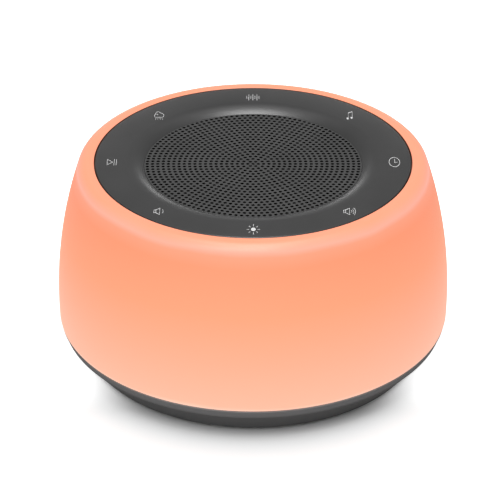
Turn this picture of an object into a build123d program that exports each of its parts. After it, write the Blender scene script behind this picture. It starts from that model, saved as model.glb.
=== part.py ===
"""Bedside white noise sound machine with a glowing shade and a touch panel.

The origin is the centre of the circle that the rubber foot stands on. +Z is
up, the front is -Y and the power inlet is at the rear, +Y. Sizes are in mm.
"""

from build123d import *
import os
from math import atan2, cos, radians, sin, sqrt, tan

os.makedirs("parts", exist_ok=True)

# ------------------------------------------------------------------ outer form
shade_radius = 60.2  # widest circle of the shade
belly_rise = 6.3  # height of that circle above the seam
belly_bulge = 1.0  # how far it stands proud of the seam
shade_height = 52.0  # seam to rim
shoulder_inset = 7.8  # the side's slow curve comes in by this much up to the rim
shoulder_radius = 3.2
shade_wall = 2.0
rim_width = 4.2  # shoulder corner to the panel opening
ledge_width = 2.6  # ledge that carries the panel
ledge_thickness = 2.0
foot_drop = 1.2  # the foot stands this far below the base
plinth_height = 8.75  # underside to the crease
plinth_inset = 7.8  # underside edge, in from the seam
plinth_chamfer = 0.8
lip_height = 2.55  # crease to seam
lip_taper = 0.4
base_wall = 2.2
base_floor = 2.0

# ------------------------------------------------------- control panel, grille
panel_thickness = 2.2
panel_gap = 0.2
dish_width = 4.8  # the panel rolls down over this width
dish_depth = 1.7
grille_overhang = 0.9  # past the edge of the driver
grille_gap = 0.1
grille_thickness = 1.0
grille_ring_count = 5
grille_border = 0.9  # left whole outside the last holes
grille_hole_radius = 1.5
grille_hole_sides = 6
scrim_thickness = 0.2
mount_ring_thickness = 3.2  # ring under the grille that the driver hangs from
mount_ring_clearance = 2.1  # ring opening to the driver's moving rim
pilot_skin = 0.6  # plastic left above a blind screw hole

# --------------------------------------------------------------- speaker driver
driver_radius = 32.0
flange_width = 6.6
flange_thickness = 1.2
gasket_thickness = 1.5
driver_screw_inset = 2.5
basket_depth = 14.1  # flange face to the seat of the top plate
basket_wall = 0.9
shelf_drop = 9.6  # flange face to the spider shelf
shelf_radius = 17.2
neck_radius = 14.2
window_count = 4
spoke_width = 9.0
coil_radius = 6.95  # inside of the former
former_wall = 0.15
former_tail = 0.2
winding_wall = 0.5
winding_height = 4.0
coil_gap = 0.4
top_plate_radius = 18.0
top_plate_thickness = 2.5
magnet_radius = 20.0
magnet_bore_radius = 10.5
magnet_thickness = 6.5
yoke_thickness = 2.5
roll_width = 2.9  # the surround bridges this gap
roll_rise = 1.4
surround_thickness = 0.4
cone_rim_width = 1.6
cone_drop = 7.7  # rim to the flat round the neck
cone_flat = 1.9
cone_thickness = 0.5
cap_rise = 3.0
cap_wall = 0.8
spider_thickness = 0.4
spider_wave_rise = 0.7
glue_gap = 0.05

# ------------------------------------------------------------------- inner core
core_clearance = 1.0  # round the driver
core_wall = 1.6
core_flange_thickness = 1.6
core_flange_gap = 0.4  # to the base spigot
core_top_gap = 0.3
ear_drop = 10.6  # mount ring to the ears
ear_thickness = 2.0
ear_radius = 3.5
panel_boss_radius = 2.4
panel_boss_count = 4
panel_boss_turn = 22.5  # between the touch keys
access_hole_radius = 2.9
core_post_circle = 44.0
core_post_radius = 3.6
core_post_turn = 45.0

# ------------------------------------------------------------------------- base
spigot_gap = 0.2  # to the inside of the shade
spigot_width = 1.8
spigot_rise = 2.4
base_boss_radius = 4.2
base_boss_top = 8.0
base_seat_height = 5.0  # the screw heads bear here
foot_ring_width = 9.0
foot_gap = 0.1
foot_recess = 0.8
standoff_height = 1.6
standoff_radius = 2.6

# --------------------------------------------------------------------- fasteners
screw_sides = 8
boss_sides = 12
screw_radius = 1.5
screw_head_radius = 2.8
screw_head_height = 2.0
screw_bite = 8.0  # thread length in a panel boss
small_screw_radius = 1.0
small_head_radius = 2.0
small_head_height = 1.2
hole_clearance = 0.15  # where a screw passes through
pilot_clearance = 0.05  # where it bites
head_gap = 0.2
tip_gap = 0.4

# ---------------------------------------------------------- boards and their parts
board_thickness = 1.6
main_board_width = 48.0
main_board_front = -34.0
main_board_gap = 0.3
board_edge_gap = 0.4
board_hole_x = 20.0
board_hole_rear = 38.0
board_hole_front = -29.0
processor_centre = (0, 6)
processor_size = 10.0
processor_height = 1.6
amplifier_centre = (-9, 24)
amplifier_length = 5.0
amplifier_width = 6.0
amplifier_height = 1.5
memory_centre = (11, 18)
memory_size = 5.2
memory_height = 1.8
crystal_centre = (8, -7)
crystal_length = 10.5
crystal_width = 4.6
crystal_height = 3.5
input_capacitor_centre = (-9, 35)
output_capacitor_centre = (10, 32)
capacitor_radius = 3.15
capacitor_height = 5.4
plug_height = 5.4
speaker_plug_length = 4.6
speaker_plug_width = 6.0
lamp_plug_y = -29.5
lamp_plug_length = 10.0
lamp_plug_width = 5.0
touch_plug_x = 21.5
touch_plug_depth = 4.0
touch_plug_height = 2.4
touch_board_thickness = 1.0
touch_board_gap = 0.3
touch_chip_length = 9.9
touch_chip_width = 3.9
touch_chip_height = 1.5
ribbon_socket_width = 9.0
touch_connector_depth = 3.6
touch_connector_height = 1.6
led_board_gap = 0.8
led_count = 16
led_size = 5.0
led_height = 1.6
led_inset = 5.4  # LED centres, in from the lamp board's edge

# ------------------------------------------------------------------ inner wiring
ribbon_width = 6.0
ribbon_thickness = 0.3
ribbon_standoff = 0.8  # off the wall of the core
ribbon_drop = 5.4  # straight run under the upper connector
ribbon_lean = 17.0  # over this height it comes in to the core
ribbon_entry = 1.4  # height above the board where it enters the lower plug
lead_hole_gap = 0.5
speaker_lead_reach = 19.0
speaker_lead_width = 2.6
speaker_lead_thickness = 1.2
speaker_lead_hole_radius = 3.0
speaker_lead_tail = 6.0  # straight run at each end
speaker_lead_bow = 3.0  # it bows out round the magnet
speaker_lead_bow_drop = 15.0
lamp_lead_reach = 43.0
lamp_lead_width = 6.0
lamp_lead_thickness = 1.1
lamp_lead_entry = 2.4  # height above the board where it enters its plug
lamp_hole_length = 8.0
lamp_hole_width = 3.0
strip_offset = 2.5  # terminal strip centre, out from the spider shelf
strip_length = 7.0
strip_width = 8.0
strip_thickness = 1.0
lug_offset = 5.0
lug_length = 5.0
lug_width = 1.6
lug_thickness = 0.4
lug_half_pitch = 2.4

# ------------------------------------------------------------------- power inlet
socket_width = 8.94
socket_height = 3.26
socket_corner = 1.2
socket_sheet = 0.3
socket_length = 7.3
socket_set_back = 0.1
insulator_length = 2.0
tongue_width = 6.7
tongue_thickness = 0.7
tongue_set_back = 0.6
inlet_depth = 9.2  # pocket face, in from the seam
inlet_wall = 2.0
inlet_roof = 1.5
pocket_width = 16.0
pocket_height = 6.8
pocket_corner = 2.5
window_gap = 0.15

# ----------------------------------------------------------------- heights from these
crease_height = foot_drop + plinth_height
seam_height = crease_height + lip_height
top_height = seam_height + shade_height
floor_top = foot_drop + base_floor
board_bottom = floor_top + standoff_height
board_top = board_bottom + board_thickness
inlet_height = board_top + socket_height / 2
pocket_top = inlet_height + pocket_height / 2
core_flange_bottom = pocket_top + inlet_roof + hole_clearance
core_flange_top = core_flange_bottom + core_flange_thickness
led_board_top = core_flange_top + board_thickness
panel_bottom = top_height - panel_thickness
touch_board_bottom = panel_bottom - touch_board_thickness
grille_top = top_height - dish_depth
grille_bottom = grille_top - grille_thickness
mount_ring_bottom = grille_bottom - mount_ring_thickness
core_top = mount_ring_bottom - core_top_gap
ear_top = mount_ring_bottom - ear_drop
flange_face = mount_ring_bottom - gasket_thickness
flange_back = flange_face - flange_thickness
shelf_height = flange_face - shelf_drop
plate_top = flange_face - basket_depth
plate_bottom = plate_top - top_plate_thickness
magnet_bottom = plate_bottom - magnet_thickness
yoke_bottom = magnet_bottom - yoke_thickness
cone_flat_height = flange_face - cone_drop
winding_bottom = (plate_top + plate_bottom - winding_height) / 2


def wall_radius(height, inset=0.0):
    """Radius of the shade's side curve at a height, moved in by the inset."""
    rise = height - seam_height - belly_rise
    return shade_radius - side_arc_radius + sqrt((side_arc_radius - inset) ** 2 - rise**2)


# ------------------------------------------------------------------- radii from these
side_rise = shade_height - belly_rise
side_arc_radius = (shoulder_inset**2 + side_rise**2) / (2 * shoulder_inset)
seam_radius = shade_radius - belly_bulge
crease_radius = seam_radius - lip_taper
plinth_radius = seam_radius - plinth_inset
shoulder_corner = shade_radius - shoulder_inset
panel_opening = shoulder_corner - rim_width
panel_radius = panel_opening - panel_gap
ledge_radius = panel_opening - ledge_width
spigot_radius = seam_radius - shade_wall - spigot_gap
cavity_radius = spigot_radius - spigot_width
core_flange_radius = cavity_radius - core_flange_gap
grille_radius = driver_radius + grille_overhang
grille_ring_pitch = (grille_radius - grille_border - grille_hole_radius) / grille_ring_count
grille_pocket_radius = grille_radius + grille_gap
dish_radius = grille_pocket_radius + dish_width
flange_inner_radius = driver_radius - flange_width
mount_ring_radius = flange_inner_radius + mount_ring_clearance
driver_screw_circle = driver_radius - driver_screw_inset
cone_rim_radius = flange_inner_radius - roll_width
cone_edge_radius = cone_rim_radius - cone_rim_width
former_radius = coil_radius + former_wall
winding_radius = former_radius + winding_wall
plate_bore_radius = winding_radius + coil_gap
core_inner_radius = driver_radius + core_clearance
core_radius = core_inner_radius + core_wall
ribbon_radius = core_radius + ribbon_standoff
panel_boss_circle = core_radius + screw_head_radius + head_gap
touch_board_inner = panel_boss_circle + panel_boss_radius + touch_board_gap
touch_board_outer = ledge_radius - touch_board_gap
touch_circle = (touch_board_inner + touch_board_outer) / 2
led_board_inner = panel_boss_circle + access_hole_radius
led_board_outer = core_flange_radius - led_board_gap
led_circle = led_board_outer - led_inset
inlet_face = seam_radius - inlet_depth
inlet_inner_face = inlet_face - inlet_wall
main_board_rear = inlet_inner_face - main_board_gap
socket_front = inlet_face - socket_set_back
socket_back = socket_front - socket_length


def on_circle(radius, count, turn):
    """Points evenly spaced on a circle, the first one turned from +X."""
    angles = [radians(turn + 360.0 / count * k) for k in range(count)]
    return [(radius * cos(a), radius * sin(a)) for a in angles]


base_screw_centres = on_circle(core_post_circle, 4, core_post_turn)
panel_screw_centres = on_circle(panel_boss_circle, panel_boss_count, panel_boss_turn)
driver_screw_centres = on_circle(driver_screw_circle, 4, core_post_turn)
board_screw_centres = [
    (x, y) for x in (-board_hole_x, board_hole_x) for y in (board_hole_front, board_hole_rear)
]


def save(piece, name):
    """Label a finished piece and write it as its own STEP file."""
    piece.part.label = name
    export_step(piece.part, f"parts/{name}.step")


def screws(centres, seat, head_radius, head_height, radius, length):
    """Pan-head screws whose heads bear on the seat height; a negative length points down."""
    away = head_height if length < 0 else -head_height
    with BuildPart() as group:
        with BuildSketch(Plane.XY.offset(seat)):
            with Locations(*centres):
                RegularPolygon(radius, screw_sides)
        extrude(amount=length)
        with BuildSketch(Plane.XY.offset(seat)):
            with Locations(*centres):
                RegularPolygon(head_radius, screw_sides)
        extrude(amount=away)
    return group


def disc(bottom, height, outer, inner=0.0):
    """A flat disc, or a ring when it has an inner radius."""
    with BuildPart() as ring:
        with BuildSketch(Plane.XY.offset(bottom)):
            Circle(outer)
            if inner > 0:
                Circle(inner, mode=Mode.SUBTRACT)
        extrude(amount=height)
    return ring


def component(centre, bottom, length, width, height):
    """A block-shaped component that stands on a height; a negative height hangs down."""
    with BuildPart() as body:
        with BuildSketch(Plane.XY.offset(bottom)):
            with Locations(centre):
                Rectangle(length, width)
        extrude(amount=height)
    return body


def flat_lead(plane, points, width, thickness):
    """A flat lead along a route drawn on a plane, with the widest bends the runs allow."""
    bends = []
    for before, corner, after in zip(points, points[1:], points[2:]):
        arrive = Vector(*corner) - Vector(*before)
        leave = Vector(*after) - Vector(*corner)
        half_turn = radians(arrive.get_angle(leave)) / 2
        bends.append(0.45 * min(arrive.length, leave.length) / tan(half_turn))
    with BuildPart() as lead:
        with BuildLine(plane) as route:
            FilletPolyline(*points, radius=bends)
        with BuildSketch(Plane(route.line @ 0, x_dir=plane.z_dir, z_dir=route.line % 0)):
            Rectangle(width, thickness)
        sweep(path=route.line)
    return lead


# -------------------------------------------------------------------------- base
# A shallow bowl: upright lip under the seam, undercut flank, flat underside.
flank_run = (crease_radius - plinth_radius) / plinth_height
flank_wall = base_wall / cos(atan2(crease_radius - plinth_radius, plinth_height))
cavity_floor_radius = plinth_radius + flank_run * base_floor - flank_wall
cavity_corner = floor_top + (cavity_radius - cavity_floor_radius) / flank_run

with BuildPart() as base_form:
    with BuildSketch(Plane.XZ):
        with BuildLine():
            Polyline(
                (0, foot_drop),
                (plinth_radius - plinth_chamfer, foot_drop),
                (plinth_radius + flank_run * plinth_chamfer, foot_drop + plinth_chamfer),
                (crease_radius, crease_height),
                (seam_radius, seam_height),
                (0, seam_height),
                close=True,
            )
        make_face()
    revolve(axis=Axis.Z)

with BuildPart() as inlet_surround:
    add(base_form.part)
    with BuildSketch(Plane.XZ.offset(-inlet_inner_face)):
        with Locations((0, floor_top)):
            Rectangle(
                pocket_width + 2 * inlet_wall,
                2 * (pocket_top + inlet_roof - floor_top),
            )
    extrude(amount=-(seam_radius - inlet_inner_face), mode=Mode.INTERSECT)

with BuildPart() as inlet_roof_block:
    with BuildSketch(Plane.XY.offset(pocket_top)):
        Circle(spigot_radius)
        with Locations((0, inlet_inner_face)):
            Rectangle(
                pocket_width + 2 * inlet_wall,
                2 * seam_radius,
                align=(Align.CENTER, Align.MIN),
                mode=Mode.INTERSECT,
            )
    extrude(amount=inlet_roof)

with BuildPart() as base_housing:
    add(base_form.part)
    with BuildSketch(Plane.XY.offset(seam_height)):
        Circle(spigot_radius)
    extrude(amount=spigot_rise)
    with BuildSketch(Plane.XZ):
        with BuildLine():
            Polyline(
                (0, floor_top),
                (cavity_floor_radius, floor_top),
                (cavity_radius, cavity_corner),
                (cavity_radius, seam_height + spigot_rise),
                (0, seam_height + spigot_rise),
                close=True,
            )
        make_face()
    revolve(axis=Axis.Z, mode=Mode.SUBTRACT)
    add(inlet_surround.part)
    add(inlet_roof_block.part)
    # bosses for the screws from below, standoffs for the main board
    with BuildSketch(Plane.XY.offset(floor_top)):
        with Locations(*base_screw_centres):
            RegularPolygon(base_boss_radius, boss_sides)
    extrude(amount=base_boss_top - floor_top)
    with BuildSketch(Plane.XY.offset(floor_top)):
        with Locations(*board_screw_centres):
            RegularPolygon(standoff_radius, boss_sides)
    extrude(amount=standoff_height)
    with BuildSketch(Plane.XY.offset(board_bottom)):
        with Locations(*board_screw_centres):
            RegularPolygon(small_screw_radius + pilot_clearance, screw_sides)
    extrude(amount=foot_drop + pilot_skin - board_bottom, mode=Mode.SUBTRACT)
    # underside: groove of the foot ring, then a seat and a hole in each boss
    with BuildSketch(Plane.XY.offset(foot_drop)):
        Circle(core_post_circle + foot_ring_width / 2 + foot_gap)
        Circle(core_post_circle - foot_ring_width / 2 - foot_gap, mode=Mode.SUBTRACT)
    extrude(amount=foot_recess, mode=Mode.SUBTRACT)
    with BuildSketch(Plane.XY.offset(foot_drop)):
        with Locations(*base_screw_centres):
            RegularPolygon(screw_head_radius + head_gap, screw_sides)
    extrude(amount=base_seat_height - foot_drop, mode=Mode.SUBTRACT)
    with BuildSketch(Plane.XY.offset(base_seat_height)):
        with Locations(*base_screw_centres):
            RegularPolygon(screw_radius + hole_clearance, screw_sides)
    extrude(amount=base_boss_top - base_seat_height, mode=Mode.SUBTRACT)
    # rear pocket for the power plug, and the window for its socket
    with BuildSketch(Plane.XZ.offset(-inlet_face)):
        with Locations((0, inlet_height)):
            RectangleRounded(pocket_width, pocket_height, pocket_corner)
    extrude(amount=inlet_face - shade_radius, mode=Mode.SUBTRACT)
    with BuildSketch(Plane.XZ.offset(-inlet_face)):
        with Locations((0, inlet_height)):
            RectangleRounded(
                socket_width + 2 * window_gap,
                socket_height + 2 * window_gap,
                socket_corner + window_gap,
            )
    extrude(amount=inlet_wall, mode=Mode.SUBTRACT)
save(base_housing, "base_housing")

rubber_foot = disc(
    0,
    foot_drop + foot_recess,
    core_post_circle + foot_ring_width / 2,
    core_post_circle - foot_ring_width / 2,
)
save(rubber_foot, "rubber_foot")

base_screws = screws(
    base_screw_centres,
    base_seat_height,
    screw_head_radius,
    screw_head_height,
    screw_radius,
    core_flange_bottom - base_seat_height,
)
save(base_screws, "base_screws")

# ------------------------------------------------------------------ power socket
inner_width = socket_width - 2 * socket_sheet
inner_height = socket_height - 2 * socket_sheet
inner_corner = socket_corner - socket_sheet
with BuildPart() as power_socket:
    with BuildSketch(Plane.XZ.offset(-socket_back)):
        with Locations((0, inlet_height)):
            RectangleRounded(socket_width, socket_height, socket_corner)
    extrude(amount=-socket_length)
    with BuildSketch(Plane.XZ.offset(-socket_front)):
        with Locations((0, inlet_height)):
            RectangleRounded(inner_width, inner_height, inner_corner)
    extrude(amount=socket_length - socket_sheet, mode=Mode.SUBTRACT)
save(power_socket, "power_socket")

with BuildPart() as socket_tongue:
    with BuildSketch(Plane.XZ.offset(-(socket_back + socket_sheet))):
        with Locations((0, inlet_height)):
            RectangleRounded(inner_width, inner_height, inner_corner)
    extrude(amount=-insulator_length)
    with BuildSketch(Plane.XZ.offset(-(socket_front - tongue_set_back))):
        with Locations((0, inlet_height)):
            Rectangle(tongue_width, tongue_thickness)
    extrude(amount=socket_length - tongue_set_back - socket_sheet)
save(socket_tongue, "socket_tongue")

# -------------------------------------------------------------------- main board
with BuildPart() as main_board:
    with BuildSketch(Plane.XY.offset(board_bottom)):
        with Locations((0, (main_board_rear + main_board_front) / 2)):
            Rectangle(main_board_width, main_board_rear - main_board_front)
        Circle(cavity_floor_radius - board_edge_gap, mode=Mode.INTERSECT)
        with Locations(*board_screw_centres):
            RegularPolygon(small_screw_radius + hole_clearance, screw_sides, mode=Mode.SUBTRACT)
    extrude(amount=board_thickness)
save(main_board, "main_board")

board_screws = screws(
    board_screw_centres,
    board_top,
    small_head_radius,
    small_head_height,
    small_screw_radius,
    foot_drop + pilot_skin + tip_gap - board_top,
)
save(board_screws, "board_screws")

sound_processor = component(
    processor_centre, board_top, processor_size, processor_size, processor_height
)
save(sound_processor, "sound_processor")

amplifier_chip = component(
    amplifier_centre, board_top, amplifier_length, amplifier_width, amplifier_height
)
save(amplifier_chip, "amplifier_chip")

sound_memory = component(memory_centre, board_top, memory_size, memory_size, memory_height)
save(sound_memory, "sound_memory")

with BuildPart() as clock_crystal:
    with BuildSketch(Plane.XY.offset(board_top)):
        with Locations(crystal_centre):
            SlotOverall(crystal_length, crystal_width)
    extrude(amount=crystal_height)
save(clock_crystal, "clock_crystal")

with BuildPart() as capacitors:
    with BuildSketch(Plane.XY.offset(board_top)):
        with Locations(input_capacitor_centre, output_capacitor_centre):
            Circle(capacitor_radius)
    extrude(amount=capacitor_height)
save(capacitors, "capacitors")

speaker_plug = component(
    (-speaker_lead_reach, 0), board_top, speaker_plug_length, speaker_plug_width, plug_height
)
save(speaker_plug, "speaker_plug")

lamp_plug = component(
    (0, lamp_plug_y), board_top, lamp_plug_length, lamp_plug_width, plug_height
)
save(lamp_plug, "lamp_plug")

touch_plug = component(
    (touch_plug_x, 0), board_top, touch_plug_depth, ribbon_socket_width, touch_plug_height
)
save(touch_plug, "touch_plug")

# -------------------------------------------------------------------- inner core
# White tower that closes the back of the speaker and spreads the lamp light.
with BuildPart() as inner_core:
    with BuildSketch(Plane.XY.offset(core_flange_bottom)):
        Circle(core_flange_radius)
    extrude(amount=core_flange_thickness)
    with BuildSketch(Plane.XY.offset(core_flange_top)):
        Circle(core_radius)
    extrude(amount=core_top - core_flange_top)
    # ears that the panel bosses stand on
    with BuildSketch(Plane.XY.offset(ear_top)):
        with PolarLocations(0, panel_boss_count, panel_boss_turn):
            with Locations((core_inner_radius, 0)):
                Rectangle(
                    panel_boss_circle - core_inner_radius,
                    2 * ear_radius,
                    align=(Align.MIN, Align.CENTER),
                )
            with Locations((panel_boss_circle, 0)):
                Circle(ear_radius)
    extrude(amount=-ear_thickness)
    with BuildSketch(Plane.XY.offset(core_flange_top)):
        Circle(core_inner_radius)
    extrude(amount=core_top - core_flange_top, mode=Mode.SUBTRACT)
    with BuildSketch(Plane.XY.offset(ear_top)):
        with Locations(*panel_screw_centres):
            RegularPolygon(screw_radius + hole_clearance, screw_sides)
    extrude(amount=-ear_thickness, mode=Mode.SUBTRACT)
    # posts down to the base bosses
    with BuildSketch(Plane.XY.offset(core_flange_bottom)):
        with Locations(*base_screw_centres):
            RegularPolygon(core_post_radius, boss_sides)
    extrude(amount=base_boss_top - core_flange_bottom)
    with BuildSketch(Plane.XY.offset(base_boss_top)):
        with Locations(*base_screw_centres):
            RegularPolygon(screw_radius + pilot_clearance, screw_sides)
    extrude(amount=core_flange_bottom + tip_gap - base_boss_top, mode=Mode.SUBTRACT)
    # driver access under each ear, lead holes and the ribbon slot
    with BuildSketch(Plane.XY.offset(core_flange_bottom)):
        with Locations(*panel_screw_centres):
            RegularPolygon(access_hole_radius, screw_sides)
        with Locations((-speaker_lead_reach, 0)):
            RegularPolygon(speaker_lead_hole_radius, screw_sides)
        with Locations((0, -lamp_lead_reach)):
            Rectangle(lamp_hole_length, lamp_hole_width)
        with Locations((ribbon_radius, 0)):
            Rectangle(ribbon_thickness + 2 * lead_hole_gap, ribbon_width + 2 * lead_hole_gap)
    extrude(amount=core_flange_thickness, mode=Mode.SUBTRACT)
save(inner_core, "inner_core")

# -------------------------------------------------------------------- lamp board
led_board = disc(core_flange_top, board_thickness, led_board_outer, led_board_inner)
save(led_board, "led_board")

with BuildPart() as leds:
    with BuildSketch(Plane.XY.offset(led_board_top)):
        with PolarLocations(led_circle, led_count):
            Rectangle(led_size, led_size)
    extrude(amount=led_height)
save(leds, "leds")


# ------------------------------------------------------------------------- shade
def shade_outline(inset):
    """Closed half section of the shade, moved in by the inset."""
    belly = (shade_radius - inset, seam_height + belly_rise)
    seam = (seam_radius - inset, seam_height)
    corner = (wall_radius(top_height - inset, inset), top_height - inset)
    RadiusArc(belly, corner, inset - side_arc_radius)
    TangentArc(belly, seam, tangent=(0, -1))
    Polyline(seam, (0, seam_height), (0, top_height - inset), corner)


with BuildPart() as shade:
    with BuildSketch(Plane.XZ) as shade_section:
        with BuildLine():
            shade_outline(0.0)
        make_face()
        corner = shade_section.vertices().sort_by_distance((shoulder_corner, top_height, 0))[0]
        fillet(corner, radius=shoulder_radius)
        with BuildLine():
            shade_outline(shade_wall)
        make_face(mode=Mode.SUBTRACT)
        with Locations((ledge_radius, panel_bottom)):
            Rectangle(
                shoulder_corner - ledge_radius, ledge_thickness, align=(Align.MIN, Align.MAX)
            )
        with Locations((0, top_height)):
            Rectangle(
                panel_opening,
                panel_thickness,
                align=(Align.MIN, Align.MAX),
                mode=Mode.SUBTRACT,
            )
    revolve(axis=Axis.Z)
save(shade, "shade")

# ----------------------------------------------------------------- control panel
dish_foot_radius = grille_pocket_radius + panel_thickness
with BuildPart() as control_panel:
    with BuildSketch(Plane.XZ):
        with BuildLine():
            Line((panel_radius, top_height), (dish_radius, top_height))
            TangentArc(
                (dish_radius, top_height), (grille_pocket_radius, grille_top), tangent=(-1, 0)
            )
            Polyline(
                (grille_pocket_radius, grille_top),
                (grille_pocket_radius, grille_bottom),
                (mount_ring_radius, grille_bottom),
                (mount_ring_radius, mount_ring_bottom),
                (dish_foot_radius, mount_ring_bottom),
                (dish_radius, panel_bottom),
                (panel_radius, panel_bottom),
                (panel_radius, top_height),
            )
        make_face()
    revolve(axis=Axis.Z)
    with BuildSketch(Plane.XY.offset(ear_top)):
        with Locations(*panel_screw_centres):
            RegularPolygon(panel_boss_radius, boss_sides)
    extrude(until=Until.NEXT)
    with BuildSketch(Plane.XY.offset(ear_top)):
        with Locations(*panel_screw_centres):
            RegularPolygon(screw_radius + pilot_clearance, screw_sides)
    extrude(amount=screw_bite + tip_gap, mode=Mode.SUBTRACT)
    with BuildSketch(Plane.XY.offset(mount_ring_bottom)):
        with Locations(*driver_screw_centres):
            RegularPolygon(small_screw_radius + pilot_clearance, screw_sides)
    extrude(amount=mount_ring_thickness - pilot_skin, mode=Mode.SUBTRACT)
save(control_panel, "control_panel")

panel_screws = screws(
    panel_screw_centres,
    ear_top - ear_thickness,
    screw_head_radius,
    screw_head_height,
    screw_radius,
    ear_thickness + screw_bite,
)
save(panel_screws, "panel_screws")

# ------------------------------------------------------------------------ grille
# Rings of holes round a centre hole, six more in each ring.
with BuildPart() as speaker_grille:
    with BuildSketch(Plane.XY.offset(grille_bottom)):
        Circle(grille_radius)
        RegularPolygon(grille_hole_radius, grille_hole_sides, mode=Mode.SUBTRACT)
        for ring in range(1, grille_ring_count + 1):
            with PolarLocations(ring * grille_ring_pitch, 6 * ring):
                RegularPolygon(grille_hole_radius, grille_hole_sides, mode=Mode.SUBTRACT)
    extrude(amount=grille_thickness)
save(speaker_grille, "speaker_grille")

dust_scrim = disc(grille_bottom, -scrim_thickness, mount_ring_radius - grille_gap)
save(dust_scrim, "dust_scrim")

# ------------------------------------------------------------ touch electronics
touch_board = disc(panel_bottom, -touch_board_thickness, touch_board_outer, touch_board_inner)
save(touch_board, "touch_board")

touch_chip = component(
    (0, touch_circle),
    touch_board_bottom,
    touch_chip_length,
    touch_chip_width,
    -touch_chip_height,
)
save(touch_chip, "touch_chip")

touch_connector = component(
    (touch_circle, 0),
    touch_board_bottom,
    touch_connector_depth,
    ribbon_socket_width,
    -touch_connector_height,
)
save(touch_connector, "touch_connector")

# ---------------------------------------------------------------- speaker driver
with BuildPart() as speaker_gasket:
    with BuildSketch(Plane.XY.offset(flange_face)):
        Circle(driver_radius)
        Circle(mount_ring_radius, mode=Mode.SUBTRACT)
        with Locations(*driver_screw_centres):
            RegularPolygon(small_screw_radius + hole_clearance, screw_sides, mode=Mode.SUBTRACT)
    extrude(amount=gasket_thickness)
save(speaker_gasket, "speaker_gasket")

with BuildPart() as speaker_basket:
    with BuildSketch(Plane.XZ):
        with BuildLine():
            Polyline(
                (flange_inner_radius, flange_face),
                (driver_radius, flange_face),
                (driver_radius, flange_back),
                (flange_inner_radius + basket_wall, flange_back),
                (shelf_radius + basket_wall, shelf_height - basket_wall),
                (neck_radius + basket_wall, shelf_height - basket_wall),
                (neck_radius + basket_wall, plate_top),
                (plate_bore_radius, plate_top),
                (plate_bore_radius, plate_top + basket_wall),
                (neck_radius, plate_top + basket_wall),
                (neck_radius, shelf_height),
                (shelf_radius, shelf_height),
                close=True,
            )
        make_face()
    revolve(axis=Axis.Z)
    # windows between the spokes let the air out of the back of the cone
    with BuildSketch(Plane.XY.offset(shelf_height)):
        Circle(flange_inner_radius)
        Circle(shelf_radius + 2 * basket_wall, mode=Mode.SUBTRACT)
        with PolarLocations(0, window_count):
            Rectangle(
                driver_radius,
                spoke_width,
                align=(Align.MIN, Align.CENTER),
                mode=Mode.SUBTRACT,
            )
    extrude(amount=flange_back - shelf_height, mode=Mode.SUBTRACT)
    with BuildSketch(Plane.XY.offset(flange_back)):
        with Locations(*driver_screw_centres):
            RegularPolygon(small_screw_radius + hole_clearance, screw_sides)
    extrude(amount=flange_thickness, mode=Mode.SUBTRACT)
save(speaker_basket, "speaker_basket")

speaker_screws = screws(
    driver_screw_centres,
    flange_back,
    small_head_radius,
    small_head_height,
    small_screw_radius,
    grille_bottom - pilot_skin - tip_gap - flange_back,
)
save(speaker_screws, "speaker_screws")

top_plate = disc(plate_bottom, top_plate_thickness, top_plate_radius, plate_bore_radius)
save(top_plate, "top_plate")

magnet = disc(magnet_bottom, magnet_thickness, magnet_radius, magnet_bore_radius)
save(magnet, "magnet")

with BuildPart() as yoke:
    with BuildSketch(Plane.XY.offset(yoke_bottom)):
        Circle(top_plate_radius)
    extrude(amount=yoke_thickness)
    with BuildSketch(Plane.XY.offset(magnet_bottom)):
        Circle(coil_radius - coil_gap)
    extrude(amount=plate_top - magnet_bottom)
save(yoke, "yoke")

# --------------------------------------------------- moving part of the driver
cone_flat_radius = former_radius + cone_flat
with BuildPart() as speaker_cone:
    with BuildSketch(Plane.XZ):
        with BuildLine():
            Polyline(
                (former_radius, cone_flat_height),
                (cone_flat_radius, cone_flat_height),
                (cone_edge_radius, flange_face),
                (cone_rim_radius, flange_face),
                (cone_rim_radius, flange_face - cone_thickness),
                (cone_edge_radius, flange_face - cone_thickness),
                (cone_flat_radius, cone_flat_height - cone_thickness),
                (former_radius, cone_flat_height - cone_thickness),
                close=True,
            )
        make_face()
    revolve(axis=Axis.Z)
save(speaker_cone, "speaker_cone")

with BuildPart() as dust_cap:
    with BuildSketch(Plane.XZ):
        with BuildLine():
            ThreePointArc(
                (-cone_flat_radius, cone_flat_height),
                (0, cone_flat_height + cap_rise),
                (cone_flat_radius, cone_flat_height),
            )
            Line((cone_flat_radius, cone_flat_height), (-cone_flat_radius, cone_flat_height))
        make_face()
        with BuildLine():
            ThreePointArc(
                (cap_wall - cone_flat_radius, cone_flat_height),
                (0, cone_flat_height + cap_rise - cap_wall / 2),
                (cone_flat_radius - cap_wall, cone_flat_height),
            )
            Line(
                (cone_flat_radius - cap_wall, cone_flat_height),
                (cap_wall - cone_flat_radius, cone_flat_height),
            )
        make_face(mode=Mode.SUBTRACT)
        with Locations((0, cone_flat_height)):
            Rectangle(
                cone_flat_radius,
                cap_rise,
                align=(Align.MIN, Align.MIN),
                mode=Mode.INTERSECT,
            )
    revolve(axis=Axis.Z)
save(dust_cap, "dust_cap")

coil_former = disc(
    winding_bottom - former_tail,
    cone_flat_height - winding_bottom + former_tail,
    former_radius,
    coil_radius,
)
save(coil_former, "coil_former")

voice_coil = disc(winding_bottom, winding_height, winding_radius, former_radius)
save(voice_coil, "voice_coil")

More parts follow.
